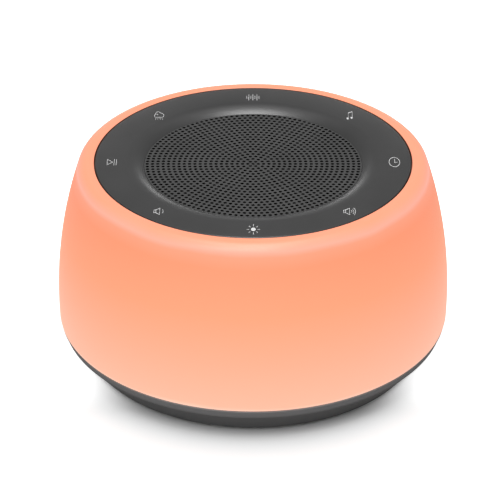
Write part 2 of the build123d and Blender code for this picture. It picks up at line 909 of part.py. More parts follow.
# ------------------------------------------------------------- soft suspension
roll_quarter = roll_width / 4
surround_outer = mount_ring_radius - grille_gap
with BuildPart() as surround:
    with BuildSketch(Plane.XZ):
        with BuildLine():
            Polyline(
                (cone_edge_radius, flange_face),
                (cone_rim_radius, flange_face),
                (cone_rim_radius + roll_quarter, flange_face + roll_rise),
                (flange_inner_radius - roll_quarter, flange_face + roll_rise),
                (flange_inner_radius, flange_face),
                (surround_outer, flange_face),
                (surround_outer, flange_face + surround_thickness),
                (flange_inner_radius, flange_face + surround_thickness),
                (
                    flange_inner_radius - roll_quarter,
                    flange_face + roll_rise + surround_thickness,
                ),
                (cone_rim_radius + roll_quarter, flange_face + roll_rise + surround_thickness),
                (cone_rim_radius, flange_face + surround_thickness),
                (cone_edge_radius, flange_face + surround_thickness),
                close=True,
            )
        make_face()
    revolve(axis=Axis.Z)
save(surround, "surround")

spider_inner = former_radius + glue_gap
spider_outer = shelf_radius - grille_gap
spider_mid = (spider_inner + neck_radius) / 2
with BuildPart() as spider:
    with BuildSketch(Plane.XZ):
        with BuildLine():
            Polyline(
                (spider_inner, shelf_height),
                (spider_mid, shelf_height + spider_wave_rise),
                (neck_radius, shelf_height),
                (spider_outer, shelf_height),
                (spider_outer, shelf_height + spider_thickness),
                (neck_radius, shelf_height + spider_thickness),
                (spider_mid, shelf_height + spider_wave_rise + spider_thickness),
                (spider_inner, shelf_height + spider_thickness),
                close=True,
            )
        make_face()
    revolve(axis=Axis.Z)
save(spider, "spider")

# ------------------------------------------------------------------ inner wiring
strip_bottom = shelf_height - basket_wall - strip_thickness
terminal_strip = component(
    (-(shelf_radius + strip_offset), 0),
    strip_bottom,
    strip_length,
    strip_width,
    strip_thickness,
)
save(terminal_strip, "terminal_strip")

lug_x = -(shelf_radius + lug_offset)
lug_bottom = strip_bottom - lug_thickness
with BuildPart() as terminal_lugs:
    with BuildSketch(Plane.XY.offset(strip_bottom)):
        with Locations((lug_x, lug_half_pitch), (lug_x, -lug_half_pitch)):
            Rectangle(lug_length, lug_width)
    extrude(amount=-lug_thickness)
save(terminal_lugs, "terminal_lugs")

speaker_lead = flat_lead(
    Plane.XZ,
    [
        (lug_x, lug_bottom),
        (lug_x, lug_bottom - speaker_lead_tail),
        (lug_x - speaker_lead_bow, lug_bottom - speaker_lead_bow_drop),
        (-speaker_lead_reach, core_flange_top + speaker_lead_tail),
        (-speaker_lead_reach, board_top + plug_height),
    ],
    speaker_lead_width,
    speaker_lead_thickness,
)
save(speaker_lead, "speaker_lead")

lamp_lead = flat_lead(
    Plane.YZ,
    [
        (-lamp_lead_reach, core_flange_top),
        (-lamp_lead_reach, board_top + lamp_lead_entry),
        (lamp_plug_y - lamp_plug_width / 2, board_top + lamp_lead_entry),
    ],
    lamp_lead_width,
    lamp_lead_thickness,
)
save(lamp_lead, "lamp_lead")

ribbon_top = touch_board_bottom - touch_connector_height
touch_ribbon = flat_lead(
    Plane.XZ,
    [
        (touch_circle, ribbon_top),
        (touch_circle, ribbon_top - ribbon_drop),
        (ribbon_radius, ribbon_top - ribbon_lean),
        (ribbon_radius, board_top + ribbon_entry),
        (touch_plug_x + touch_plug_depth / 2, board_top + ribbon_entry),
    ],
    ribbon_width,
    ribbon_thickness,
)
save(touch_ribbon, "touch_ribbon")
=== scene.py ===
"""Looks of a bedside sound machine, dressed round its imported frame.

The dataclasses hold millimetres, as a maker would quote them, and every mesh is written in metres in
the frame's own axes: the table is z = 0, the front faces -Y and the power inlet is at +Y. Only the
softboxes are placed in metres.
"""

import logging
import math
from dataclasses import dataclass, field
from enum import Enum
from functools import cached_property
from typing import Any

import bmesh
import bpy
import numpy as np
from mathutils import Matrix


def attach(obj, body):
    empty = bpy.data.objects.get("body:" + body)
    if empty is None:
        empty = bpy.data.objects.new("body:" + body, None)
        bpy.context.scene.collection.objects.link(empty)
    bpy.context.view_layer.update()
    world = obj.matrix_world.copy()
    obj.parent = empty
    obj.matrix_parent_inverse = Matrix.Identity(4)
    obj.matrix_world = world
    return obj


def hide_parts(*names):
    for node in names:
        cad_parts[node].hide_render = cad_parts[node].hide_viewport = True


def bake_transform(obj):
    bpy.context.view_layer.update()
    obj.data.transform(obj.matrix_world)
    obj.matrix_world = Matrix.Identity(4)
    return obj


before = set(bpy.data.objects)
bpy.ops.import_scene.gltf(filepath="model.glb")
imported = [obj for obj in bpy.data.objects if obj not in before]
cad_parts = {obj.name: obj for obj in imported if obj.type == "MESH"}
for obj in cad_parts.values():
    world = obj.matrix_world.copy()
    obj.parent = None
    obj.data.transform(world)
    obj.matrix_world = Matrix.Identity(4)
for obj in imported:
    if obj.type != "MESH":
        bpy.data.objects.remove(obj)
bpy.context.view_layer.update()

MM = 0.001
WELD = 1e-7
NOISE_ROUGHNESS = 0.55
NOISE_MIDDLE = 0.5
HOUSING = "housing"
SMOOTH_BELOW = math.radians(28)
log = logging.getLogger("sound_machine")

Array = np.ndarray
Pair = tuple[float, float]
Triple = tuple[float, float, float]
Socket = bpy.types.NodeSocket
Material = bpy.types.Material


# ------------------------------------------------------------------- shader maths
class Signal:
    """A number socket that Python's operators act on, so that shader maths reads as maths."""

    def __init__(self, graph: "Graph", socket: Socket) -> None:
        """Wraps one socket of a graph."""
        self.graph = graph
        self.socket = socket

    def _math(self, operation: str, first: Any, second: Any = 0.0) -> "Signal":
        """The result of one new Math node."""
        return self.graph.number("ShaderNodeMath", {"operation": operation}, {0: first, 1: second})

    def __add__(self, other: Any) -> "Signal":
        """The sum with a number or signal."""
        return self._math("ADD", self, other)

    def __radd__(self, other: Any) -> "Signal":
        """The sum when the number stands on the left."""
        return self._math("ADD", other, self)

    def __sub__(self, other: Any) -> "Signal":
        """The difference with a number or signal."""
        return self._math("SUBTRACT", self, other)

    def __rsub__(self, other: Any) -> "Signal":
        """The difference when the number stands on the left."""
        return self._math("SUBTRACT", other, self)

    def __mul__(self, other: Any) -> "Signal":
        """The product with a number or signal."""
        return self._math("MULTIPLY", self, other)

    def sine(self) -> "Signal":
        """The sine of the signal in radians."""
        return self._math("SINE", self)

    def root(self) -> "Signal":
        """The square root of the signal."""
        return self._math("SQRT", self)

    def size(self) -> "Signal":
        """The signal without its sign."""
        return self._math("ABSOLUTE", self)

    def larger(self, other: Any) -> "Signal":
        """The larger of the signal and a number or signal."""
        return self._math("MAXIMUM", self, other)

    def rise(self, low: float, high: float) -> "Signal":
        """A smooth step from 0 at low to 1 at high."""
        inputs = {"Value": self, "From Min": low, "From Max": high}
        return self.graph.number("ShaderNodeMapRange", {"interpolation_type": "SMOOTHSTEP"}, inputs)

    def past(self, low: float, high: float) -> "Signal":
        """A smooth step of a length, from 0 at low to 1 at high in millimetres."""
        return self.rise(low * MM, high * MM)


def spread(middle: float, *terms: tuple[Signal, float]) -> Any:
    """A value that strays from its middle by each signal's share, or stays there if none has one."""
    offset = middle - sum(share for _, share in terms) / 2
    return sum(signal * share for signal, share in terms if share) + offset


def tinted(colour: Triple, factor: float) -> Triple:
    """The colour made lighter or darker by a factor, held below full white."""
    return tuple(min(channel * factor, 1.0) for channel in colour)


class Graph:
    """The node tree of one material or of the world."""

    def __init__(self, holder: Material | bpy.types.World) -> None:
        """Empties the tree of a new material or world.

        Args:
            holder: What the tree belongs to.
        """
        holder.use_nodes = True
        self.holder = holder
        self.tree = holder.node_tree
        self.tree.nodes.clear()

    def node(
        self,
        kind: str,
        settings: dict[str, Any] | None = None,
        inputs: dict[Any, Any] | None = None,
    ) -> bpy.types.Node:
        """Makes one node, its settings first and then its sockets.

        Args:
            kind: The node's type.
            settings: Its properties; "stops" holds a ramp's positions and colours.
            inputs: A value, socket or Signal for each socket, by index or name.

        Returns:
            The new node.
        """
        node = self.tree.nodes.new(kind)
        for key, value in (settings or {}).items():
            if key == "stops":
                self._set_stops(node.color_ramp.elements, value)
            else:
                setattr(node, key, value)
        for key, value in (inputs or {}).items():
            self.feed(node.inputs[key], value)
        return node

    @staticmethod
    def _set_stops(elements: Any, stops: list[tuple[float, Triple]]) -> None:
        """Gives a ramp exactly the listed stops.

        Args:
            elements: The ramp's own stops.
            stops: The position and colour of each.
        """
        while len(elements) < len(stops):
            elements.new(1.0)
        for element, (position, colour) in zip(elements, stops):
            element.position = position
            element.color = (*colour, 1.0)

    def feed(self, socket: Socket, value: Any) -> None:
        """Links a socket, or sets it.

        Args:
            socket: The socket to feed.
            value: A Signal or socket to link it to, or its value.
        """
        if isinstance(value, Signal):
            value = value.socket
        if isinstance(value, Socket):
            self.tree.links.new(value, socket)
        elif socket.type == "RGBA" and len(value) == 3:
            socket.default_value = (*value, 1.0)
        else:
            socket.default_value = value

    def number(self, kind: str, settings: dict[str, Any] | None, inputs: dict[Any, Any]) -> Signal:
        """The first output of a new node, as a signal."""
        return Signal(self, self.node(kind, settings, inputs).outputs[0])

    @cached_property
    def point(self) -> Socket:
        """The place on the piece, in metres, from its own Object coordinates."""
        return self.node("ShaderNodeTexCoord").outputs["Object"]

    @cached_property
    def axes(self) -> tuple[Signal, Signal, Signal]:
        """The three coordinates of that place as signals."""
        split = self.node("ShaderNodeSeparateXYZ", None, {0: self.point})
        return tuple(Signal(self, output) for output in split.outputs)

    @cached_property
    def reach(self) -> Signal:
        """How far that place is from the object's axis."""
        x, y, _ = self.axes
        return (x * x + y * y).root()

    def noise(self, period: float, detail: float = 2.0, stretch: Triple = (1, 1, 1)) -> Signal:
        """Soft random variation, between 0 and 1.

        Args:
            period: The usual size of its blobs, in millimetres.
            detail: How many finer layers are added.
            stretch: How much it is squeezed along each axis.

        Returns:
            The noise.
        """
        placed = self.node("ShaderNodeMapping", None, {"Vector": self.point, "Scale": stretch})
        inputs = {"Vector": placed.outputs[0], "Scale": 1 / (period * MM), "Detail": detail}
        return self.number("ShaderNodeTexNoise", None, inputs | {"Roughness": NOISE_ROUGHNESS})

    def ramp(self, factor: Signal, stops: list[tuple[float, Triple]]) -> Socket:
        """Colours along a factor, from the listed stops."""
        return self.node("ShaderNodeValToRGB", {"stops": stops}, {0: factor}).outputs[0]

    def shades(self, factor: Signal, colour: Triple, gains: dict[float, float]) -> Socket:
        """One colour along a factor, made lighter or darker by the gain at each stop."""
        return self.ramp(factor, [(stop, tinted(colour, gain)) for stop, gain in gains.items()])

    def mix(self, factor: Signal, first: Any, second: Any) -> Socket:
        """The first colour at factor 0 and the second at factor 1."""
        inputs = {0: factor, 6: first, 7: second}
        return self.node("ShaderNodeMix", {"data_type": "RGBA"}, inputs).outputs[2]

    def dress(
        self,
        colour: Any,
        roughness: Any,
        relief: Signal,
        depth: float,
        more: dict[str, Any],
    ) -> Material:
        """Makes the shader and closes the material.

        Args:
            colour: The base colour.
            roughness: The roughness.
            relief: A height between 0 and 1 that the normal follows.
            depth: The relief's depth in millimetres, or 0 for none.
            more: What feeds any other socket of the shader, by name.

        Returns:
            The material.
        """
        sockets = {"Base Color": colour, "Roughness": roughness} | more
        if depth:
            inputs = {"Height": relief, "Distance": depth * MM, "Strength": 1.0}
            sockets["Normal"] = self.node("ShaderNodeBump", None, inputs).outputs[0]
        shader = self.node("ShaderNodeBsdfPrincipled", None, sockets)
        self.node("ShaderNodeOutputMaterial", None, {0: shader.outputs[0]})
        return self.holder


# ----------------------------------------------------------------------- finishes
@dataclass
class Look:
    """What feeds a finish's shader, first all over the piece and then with its zones laid over it."""

    shade: Signal
    relief: Signal
    colour: Any
    rough: Any
    more: dict[str, Any]


@dataclass(frozen=True)
class Finish:
    """A surface finish that is made into a material once and then shared.

    One signal shades the colour: at the two stops it is made lighter or darker by the two gains of the
    mottle. Another is the relief that the normal follows, to its depth. Each also strays the roughness
    by its share. The patches and the grain are noises of a period in millimetres and a detail.
    """

    name: str
    colour: Triple
    roughness: float
    patches: Pair = (14.0, 3.0)
    stops: Pair = (0.3, 0.7)
    mottle: Pair = (0.9, 1.1)
    patch_share: float = 0.0
    grain: Pair = (0.22, 2.0)
    stretch: Triple = (1.0, 1.0, 1.0)
    grain_share: float = 0.0
    depth: float = 0.010
    specular: float = 0.5
    metallic: float = 0.0
    coat: float = 0.0

    def material(self) -> Material:
        """The finish's material, made the first time that it is asked for."""
        known = bpy.data.materials.get(self.name)
        return known or self.build(Graph(bpy.data.materials.new(self.name)))

    def signals(self, graph: Graph) -> tuple[Signal, Signal]:
        """The patches that shade the colour, and the grain as the relief if there is a depth."""
        patches = graph.noise(*self.patches)
        return patches, graph.noise(*self.grain, self.stretch) if self.depth else patches

    def zone(self, graph: Graph, look: Look) -> None:
        """Changes the look from zone to zone, where a finish has zones."""

    def build(self, graph: Graph) -> Material:
        """Wires the finish into a new graph.

        Args:
            graph: The new material's graph.

        Returns:
            The material.
        """
        shade, relief = self.signals(graph)
        colour = graph.shades(shade, self.colour, dict(zip(self.stops, self.mottle)))
        rough = spread(self.roughness, (relief, self.grain_share), (shade, self.patch_share))
        more = {"Specular IOR Level": self.specular, "Metallic": self.metallic, "Coat Weight": self.coat}
        look = Look(shade, relief, colour, rough, more)
        self.zone(graph, look)
        return graph.dress(look.colour, look.rough, look.relief, self.depth, look.more)


@dataclass(frozen=True)
class MouldedPlastic(Finish):
    """Injection-moulded plastic with the fine grain that a spark-eroded mould leaves."""

    patch_share: float = 0.06
    grain_share: float = 0.12


@dataclass(frozen=True)
class PaintedLightLipPlastic(Finish):
    """Grey plastic whose upper band, the lip, is painted lighter as the light that falls on it, over a
    darker flank.
    """

    mottle: Pair = (0.93, 1.07)
    grain_share: float = 0.12
    # painted light: from the lip's height up, over the fade, the colour is raised by the gain
    lip: float = 9.6
    fade: float = 1.2
    gain: float = 1.65

    def zone(self, graph: Graph, look: Look) -> None:
        """Painted light: lighter above the height of the lip."""
        painted_light = graph.axes[2].past(self.lip, self.lip + self.fade)
        look.colour = graph.mix(painted_light, look.colour, tinted(self.colour, self.gain))


@dataclass(frozen=True)
class PanelPlastic(MouldedPlastic):
    """Clear-coated black plastic, left uncoated and dull on the seat under the grille, where it is painted
    near black as shade.
    """

    depth: float = 0.006
    specular: float = 0.8
    coat: float = 0.8
    seat: float = 61.9
    face: float = 62.6
    # painted shade: the seat under the grille is coloured near black
    painted_shade_black: Triple = (0.003, 0.003, 0.003)
    dullness: float = 0.5

    def zone(self, graph: Graph, look: Look) -> None:
        """A clear coat above the seat; on it a dull uncoated finish painted near black as shade.

        Args:
            graph: The new material's graph.
            look: The look to change.
        """
        coated = graph.axes[2].past(self.seat, self.face)
        look.colour = graph.mix(coated, self.painted_shade_black, look.colour)
        look.rough += (1 - coated) * self.dullness
        look.more |= {"Coat Weight": coated * self.coat, "Coat Roughness": self.roughness}


@dataclass(frozen=True)
class PiercedPlastic(Finish):
    """Black plastic round many small holes, whose walls are painted near black as shadow just under the
    face.
    """

    mottle: Pair = (0.92, 1.08)
    grain_share: float = 0.12
    depth: float = 0.006
    specular: float = 0.03
    face: float = 62.8
    fade: float = 0.04
    # painted shadow: the colour of the holes' walls
    shadow: Triple = (0.002, 0.002, 0.002)
    dullness: float = 0.4

    def zone(self, graph: Graph, look: Look) -> None:
        """The face's own colour at its height, and below it a dull near black painted as shadow in the
        holes.

        Args:
            graph: The new material's graph.
            look: The look to change.
        """
        lit = graph.axes[2].past(self.face - self.fade, self.face)
        look.colour = graph.mix(lit, self.shadow, look.colour)
        look.rough += (1 - lit) * self.dullness


@dataclass(frozen=True)
class GlowingDiffuser(Finish):
    """Milky plastic lit from inside: the glow is palest near the lamps and deepest near the top, with
    painted highlights.
    """

    patches: Pair = (30.0, 2.0)
    mottle: Pair = (0.985, 1.0)
    grain: Pair = (0.35, 2.0)
    grain_share: float = 0.08
    depth: float = 0.004
    foot: float = 12.5
    height: float = 52.0
    opening: float = 48.03
    edge: float = 0.12
    crown: Pair = (0.90, 0.97)
    unevenness: float = 0.03
    # painted shade: the opening's wall and ledge, in the gap round the panel, take this colour and the dim
    # glow below
    painted_gap_shade: Triple = (0.012, 0.008, 0.006)
    ember: Triple = (0.025, 0.010, 0.005)
    # the stops also paint highlights: a pale line at the foot, partly painted, and a pale band over the
    # shoulder and rim
    glow: tuple[tuple[float, Triple], ...] = (
        (0.00, (0.82, 0.610, 0.500)),
        (0.03, (0.80, 0.425, 0.312)),
        (0.30, (0.78, 0.350, 0.235)),
        (0.60, (0.75, 0.272, 0.152)),
        (0.86, (0.72, 0.220, 0.122)),
        (0.93, (0.72, 0.255, 0.165)),
        (0.96, (0.73, 0.345, 0.285)),
        (0.98, (0.74, 0.300, 0.230)),
        (1.00, (0.74, 0.264, 0.168)),
    )

    def zone(self, graph: Graph, look: Look) -> None:
        """The glow, painted highlights included, follows the height with a breath of unevenness; the
        opening's wall is painted dark as shade.

        Args:
            graph: The new material's graph.
            look: The look to change.
        """
        height = (graph.axes[2] - self.foot * MM) * (1 / (self.height * MM))
        stray = (look.shade - NOISE_MIDDLE) * self.unevenness
        glow = graph.ramp(height + stray, self.glow)
        # painted shade: inside the opening, near the top, the colour and glow go dark
        outside = graph.reach.past(self.opening, self.opening + self.edge)
        lit = outside.larger(1 - height.rise(*self.crown))
        look.colour = graph.mix(lit, self.painted_gap_shade, look.colour)
        look.more |= {"Emission Color": graph.mix(lit, self.ember, glow), "Emission Strength": 1.0}


@dataclass(frozen=True)
class Rubber(Finish):
    """Matt moulded rubber: a dusty bloom over a coarse grain."""

    patches: Pair = (6.0, 4.0)
    stops: Pair = (0.35, 0.75)
    mottle: Pair = (1.0, 1.5)
    patch_share: float = 0.15
    grain: Pair = (0.5, 3.0)
    depth: float = 0.03


@dataclass(frozen=True)
class PlatedSteel(Finish):
    """Plated or drawn metal with fine lines along one axis and a few dull patches."""

    patches: Pair = (4.0, 3.0)
    stops: Pair = (0.35, 0.65)
    mottle: Pair = (0.86, 1.0)
    patch_share: float = 0.1
    grain: Pair = (0.12, 3.0)
    stretch: Triple = (1.0, 1.0, 0.06)
    grain_share: float = 0.2
    depth: float = 0.006
    metallic: float = 1.0


@dataclass(frozen=True)
class Lacquer(Finish):
    """Baked black lacquer on pressed steel: dust on a slight orange peel under a clear coat."""

    patches: Pair = (5.0, 4.0)
    stops: Pair = (0.4, 0.8)
    mottle: Pair = (1.0, 1.6)
    patch_share: float = 0.2
    grain: Pair = (0.9, 2.0)
    depth: float = 0.02
    coat: float = 0.3


@dataclass(frozen=True)
class CircuitLaminate(Finish):
    """Solder mask over copper: faint tracks, a glass weave and tinned pads."""

    patches: Pair = (9.0, 1.0)
    stops: Pair = (0.2, 0.8)
    mottle: Pair = (1.0, 1.45)
    grain: Pair = (0.6, 1.0)
    depth: float = 0.03
    track: float = 1.27
    track_edge: Pair = (0.3, 0.6)
    patch_edge: Pair = (0.46, 0.54)
    tracks_to_a_pad: int = 4
    pad_edge: Pair = (0.90, 0.94)
    weave_share: float = 0.1
    pad: Triple = (0.62, 0.60, 0.52)

    def waves(self, graph: Graph, tracks: int, edge: Pair) -> list[Signal]:
        """Stripes across x and across y, one to so many tracks, with an edge between two heights."""
        turn = 2 * math.pi / (self.track * tracks * MM)
        return [(axis * turn).sine().rise(*edge) for axis in graph.axes[:2]]

    def signals(self, graph: Graph) -> tuple[Signal, Signal]:
        """Tracks along x in some patches and along y in the others, as the shade and the relief.

        Args:
            graph: The new material's graph.

        Returns:
            The tracks, twice.
        """
        along_y, along_x = self.waves(graph, 1, self.track_edge)
        patches = graph.noise(*self.patches).rise(*self.patch_edge)
        tracks = along_x * patches + along_y * (1 - patches)
        return tracks, tracks

    def zone(self, graph: Graph, look: Look) -> None:
        """A grid of small bare pads, and the glass weave in the roughness.

        Args:
            graph: The new material's graph.
            look: The look to change.
        """
        columns, rows = self.waves(graph, self.tracks_to_a_pad, self.pad_edge)
        pads = columns * rows
        look.colour = graph.mix(pads, look.colour, self.pad)
        look.relief = look.relief.larger(pads)
        look.rough = spread(self.roughness, (graph.noise(*self.grain), self.weave_share))
        look.more["Metallic"] = pads


@dataclass(frozen=True)
class Cloth(Finish):
    """Plain weave, its threads crossing at a fixed pitch, painted darker in the gaps as shade, and dusty.
    """

    patches: Pair = (3.0, 3.0)
    stops: Pair = (0.3, 0.9)
    mottle: Pair = (0.5, 1.0)
    depth: float = 0.08
    pitch: float = 0.35
    dust: float = 0.15

    def signals(self, graph: Graph) -> tuple[Signal, Signal]:
        """Thread crowns from crossed waves.

        Args:
            graph: The new material's graph.

        Returns:
            The dusty crowns and the crowns.
        """
        turn = math.pi / (self.pitch * MM)
        warp, weft = ((axis * turn).sine().size() for axis in graph.axes[:2])
        weave = warp.larger(weft)
        # painted shade: the colour is darker in the gaps between the thread crowns
        return weave * (1 - self.dust) + graph.noise(*self.patches) * self.dust, weave


@dataclass(frozen=True)
class PulpPaper(Finish):
    """Pressed paper pulp, its fibres felted at random."""

    patches: Pair = (2.5, 3.0)
    mottle: Pair = (0.7, 1.25)
    grain: Pair = (0.7, 6.0)
    stretch: Triple = (1.0, 0.35, 1.0)
    depth: float = 0.05
    clumps: float = 0.4

    def signals(self, graph: Graph) -> tuple[Signal, Signal]:
        """Fibres and clumps together, as the shade and the relief.

        Args:
            graph: The new material's graph.

        Returns:
            The felt, twice.
        """
        clumps, fibres = super().signals(graph)
        felt = fibres * (1 - self.clumps) + clumps * self.clumps
        return felt, felt


@dataclass(frozen=True)
class CopperWinding(Finish):
    """Enamelled wire laid turn on turn up the former, painted darker between turns as shade, with flecks
    in its gloss.
    """

    patches: Pair = (1.0, 2.0)
    stops: Pair = (0.1, 0.7)
    mottle: Pair = (0.35, 1.0)
    depth: float = 0.05
    metallic: float = 0.9
    wire: float = 0.16
    fleck_share: float = 0.15

    def signals(self, graph: Graph) -> tuple[Signal, Signal]:
        """Turns from a wave up the height, as the shade and the relief."""
        turns = (graph.axes[2] * (math.pi / (self.wire * MM))).sine().size()
        return turns, turns

    def zone(self, graph: Graph, look: Look) -> None:
        """The flecks."""
        look.rough = spread(self.roughness, (graph.noise(*self.patches), self.fleck_share))


@dataclass(frozen=True)
class PhosphorLamp(Finish):
    """Lamp package: a phosphor dome that glows inside a white body."""

    patches: Pair = (0.4, 2.0)
    mottle: Pair = (1.0, 1.0)
    patch_share: float = 0.1
    depth: float = 0.0
    pitch_radius: float = 48.6
    dome: float = 1.2
    body: float = 1.9
    white: Triple = (0.85, 0.84, 0.80)
    ember: Triple = (0.05, 0.02, 0.01)
    glow: Triple = (1.0, 0.45, 0.2)

    def zone(self, graph: Graph, look: Look) -> None:
        """The glow is strongest on the ring that the domes stand on.

        Args:
            graph: The new material's graph.
            look: The look to change.
        """
        away = (graph.reach - self.pitch_radius * MM).size()
        dome = 1 - away.past(self.dome, self.body)
        look.colour = graph.mix(dome, self.white, look.colour)
        look.more |= {"Emission Color": graph.mix(dome, self.ember, self.glow), "Emission Strength": 1.0}


@dataclass(frozen=True)
class PrintedInk(Finish):
    """Pad-printed ink, laid on thinner in places."""

    patches: Pair = (0.35, 3.0)
    stops: Pair = (0.3, 0.6)
    mottle: Pair = (0.86, 1.0)
    patch_share: float = 0.1
    grain: Pair = (0.35, 3.0)
    depth: float = 0.004


@dataclass(frozen=True)
class StudioWhite(Finish):
    """A white sheet whose own light, for the camera alone, lifts it to white away from the object."""

    patches: Pair = (400.0, 2.0)
    stops: Pair = (0.0, 1.0)
    mottle: Pair = (0.81, 0.83)
    depth: float = 0.0
    specular: float = 0.0
    near: Pair = (49.0, 53.0)
    away: Pair = (50.0, 58.0)
    far: Pair = (300.0, 1500.0)
    beside: Pair = (-42.0, -18.0)
    near_lift: float = 0.78
    away_lift: float = 0.27
    far_lift: float = 0.65
    bounce: Triple = (0.4, 0.4, 0.4)

    def zone(self, graph: Graph, look: Look) -> None:
        """Paints light on the sheet round the object, more beside and behind it, and fully in the
        distance; it shapes the object's shadow.

        Args:
            graph: The new material's graph.
            look: The look to change.
        """
        near, away, far = (graph.reach.past(*band) for band in (self.near, self.away, self.far))
        beside = graph.axes[1].past(*self.beside)
        seen = Signal(graph, graph.node("ShaderNodeLightPath").outputs["Is Camera Ray"])
        # painted light: near the base the lift narrows and softens the object's shadow, more so beside it
        lift = (away * (far * self.far_lift + self.away_lift) + near * beside * self.near_lift) * seen
        look.colour = graph.mix(seen, self.bounce, look.colour)
        light = graph.mix(lift, (0.0, 0.0, 0.0), self.colour)
        look.more |= {"Emission Color": light, "Emission Strength": 1.0}


# ----------------------------------------------------------------------- surfaces
def polar(radius: Any, angle: Any) -> Array:
    """Flat points at radii r and angles a in radians: (r cos a, r sin a)."""
    return np.stack([radius * np.cos(angle), radius * np.sin(angle)], axis=-1)


def arc(centre: Pair, radius: float, start: float, end: float, steps: int) -> Array:
    """Points on a circle, from one angle a in degrees to another: centre + (r cos a, r sin a)."""
    return np.array(centre) + polar(radius, np.radians(np.linspace(start, end, steps)))


def at_height(flat: Array, height: Any) -> Array:
    """Flat points lifted to a height, or each to its own."""
    return np.concatenate([flat, np.broadcast_to(height, flat.shape[:-1])[..., None]], axis=-1)


def add_object(name: str, data: bpy.types.ID) -> bpy.types.Object:
    """Puts a mesh, lamp or camera in the scene.

    Args:
        name: The object's name.
        data: What it shows.

    Returns:
        The object.
    """
    made = bpy.data.objects.new(name, data)
    bpy.context.scene.collection.objects.link(made)
    return made


@dataclass
class Shell:
    """Points and faces of one piece, gathered from grids, in millimetres."""

    points: list[Array] = field(default_factory=list)
    faces: list[Array] = field(default_factory=list)

    def add(self, points: Array, faces: Array) -> None:
        """Adds points, and faces that number them from 0."""
        self.faces.append(faces + sum(map(len, self.points)))
        self.points.append(points.reshape(-1, 3))

    def grid(self, points: Array, wrap_u: bool = False, wrap_v: bool = False) -> None:
        """Adds a two-parameter grid as quads.

        Args:
            points: An array of shape (u, v, 3). Faces look along du x dv.
            wrap_u: Whether the last row joins the first.
            wrap_v: Whether the last column joins the first.
        """
        rows, columns = points.shape[:2]
        u = np.arange(rows if wrap_u else rows - 1)[:, None]
        v = np.arange(columns if wrap_v else columns - 1)[None, :]
        here, on, next_v = u * columns, (u + 1) % rows * columns, (v + 1) % columns
        corners = [here + v, on + v, on + next_v, here + next_v]
        self.add(points, np.stack(np.broadcast_arrays(*corners), axis=-1).reshape(-1, 4))

    def sweep(self, outline: Array, angle: Array, whole: bool, centre: Pair = (0.0, 0.0)) -> "Shell":
        """Adds a closed outline at each of the angles.

        At angle a and outline point (r, z) the place is centre + (r cos a, r sin a, z).

        Args:
            outline: Closed (r, z) outline, anticlockwise in the half plane.
            angle: The angles, in radians.
            whole: Whether the last angle joins the first.
            centre: Where the axis stands.

        Returns:
            The shell itself.
        """
        flat = np.array(centre) + polar(outline[:, 0], angle[:, None])
        self.grid(at_height(flat, outline[:, 1]), wrap_u=whole, wrap_v=True)
        return self

    def lathe(self, outline: Array, steps: int, centre: Pair = (0.0, 0.0)) -> "Shell":
        """Adds a whole turned ring in a number of steps, as sweep does."""
        return self.sweep(outline, np.linspace(0, 2 * np.pi, steps, endpoint=False), True, centre)

    def piece(self, name: str, finish: Finish) -> bpy.types.Object:
        """Welds the shell and makes it one object in the finish.

        Args:
            name: The piece's name.
            finish: What it is made of.

        Returns:
            The object, at the origin, its place in its mesh.
        """
        points = np.concatenate(self.points) * MM
        faces = np.concatenate(self.faces)
        keys, same = np.unique(np.round(points / WELD).astype(np.int64), axis=0, return_inverse=True)
        chosen = np.zeros(len(keys), np.int64)
        chosen[same.reshape(-1)] = np.arange(len(points))
        faces = same.reshape(-1)[faces]
        repeats = faces == np.roll(faces, 1, axis=1)
        whole = faces[~repeats.any(axis=1)]
        pinched = faces[repeats.sum(axis=1) == 1]
        kept = pinched != np.roll(pinched, 1, axis=1)
        mesh = bpy.data.meshes.new(name)
        mesh.from_pydata(points[chosen], [], whole.tolist() + pinched[kept].reshape(-1, 3).tolist())
        mesh.validate()
        mesh.shade_smooth()
        mesh.set_sharp_from_angle(angle=SMOOTH_BELOW)
        mesh.materials.append(finish.material())
        log.info("%s: %d faces", name, len(mesh.polygons))
        return add_object(name, mesh)


def stand_in(piece: bpy.types.Object, slot: str, *nodes: str) -> None:
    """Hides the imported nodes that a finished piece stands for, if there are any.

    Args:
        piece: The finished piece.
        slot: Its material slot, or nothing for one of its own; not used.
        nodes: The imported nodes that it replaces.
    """
    if nodes:
        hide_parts(*nodes)


def show(piece: bpy.types.Object, slot: str = "", *nodes: str) -> None:
    """Puts a finished piece on the housing and hides the nodes that it stands for."""
    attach(piece, HOUSING)
    stand_in(piece, slot, *nodes)


def dress_nodes(finish: Finish, *nodes: str) -> None:
    """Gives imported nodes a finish.

    Args:
        finish: The finish.
        nodes: The nodes' names.
    """
    for name in nodes:
        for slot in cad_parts[name].material_slots:
            slot.material = finish.material()
        log.info("%s: %s", name, finish.name)


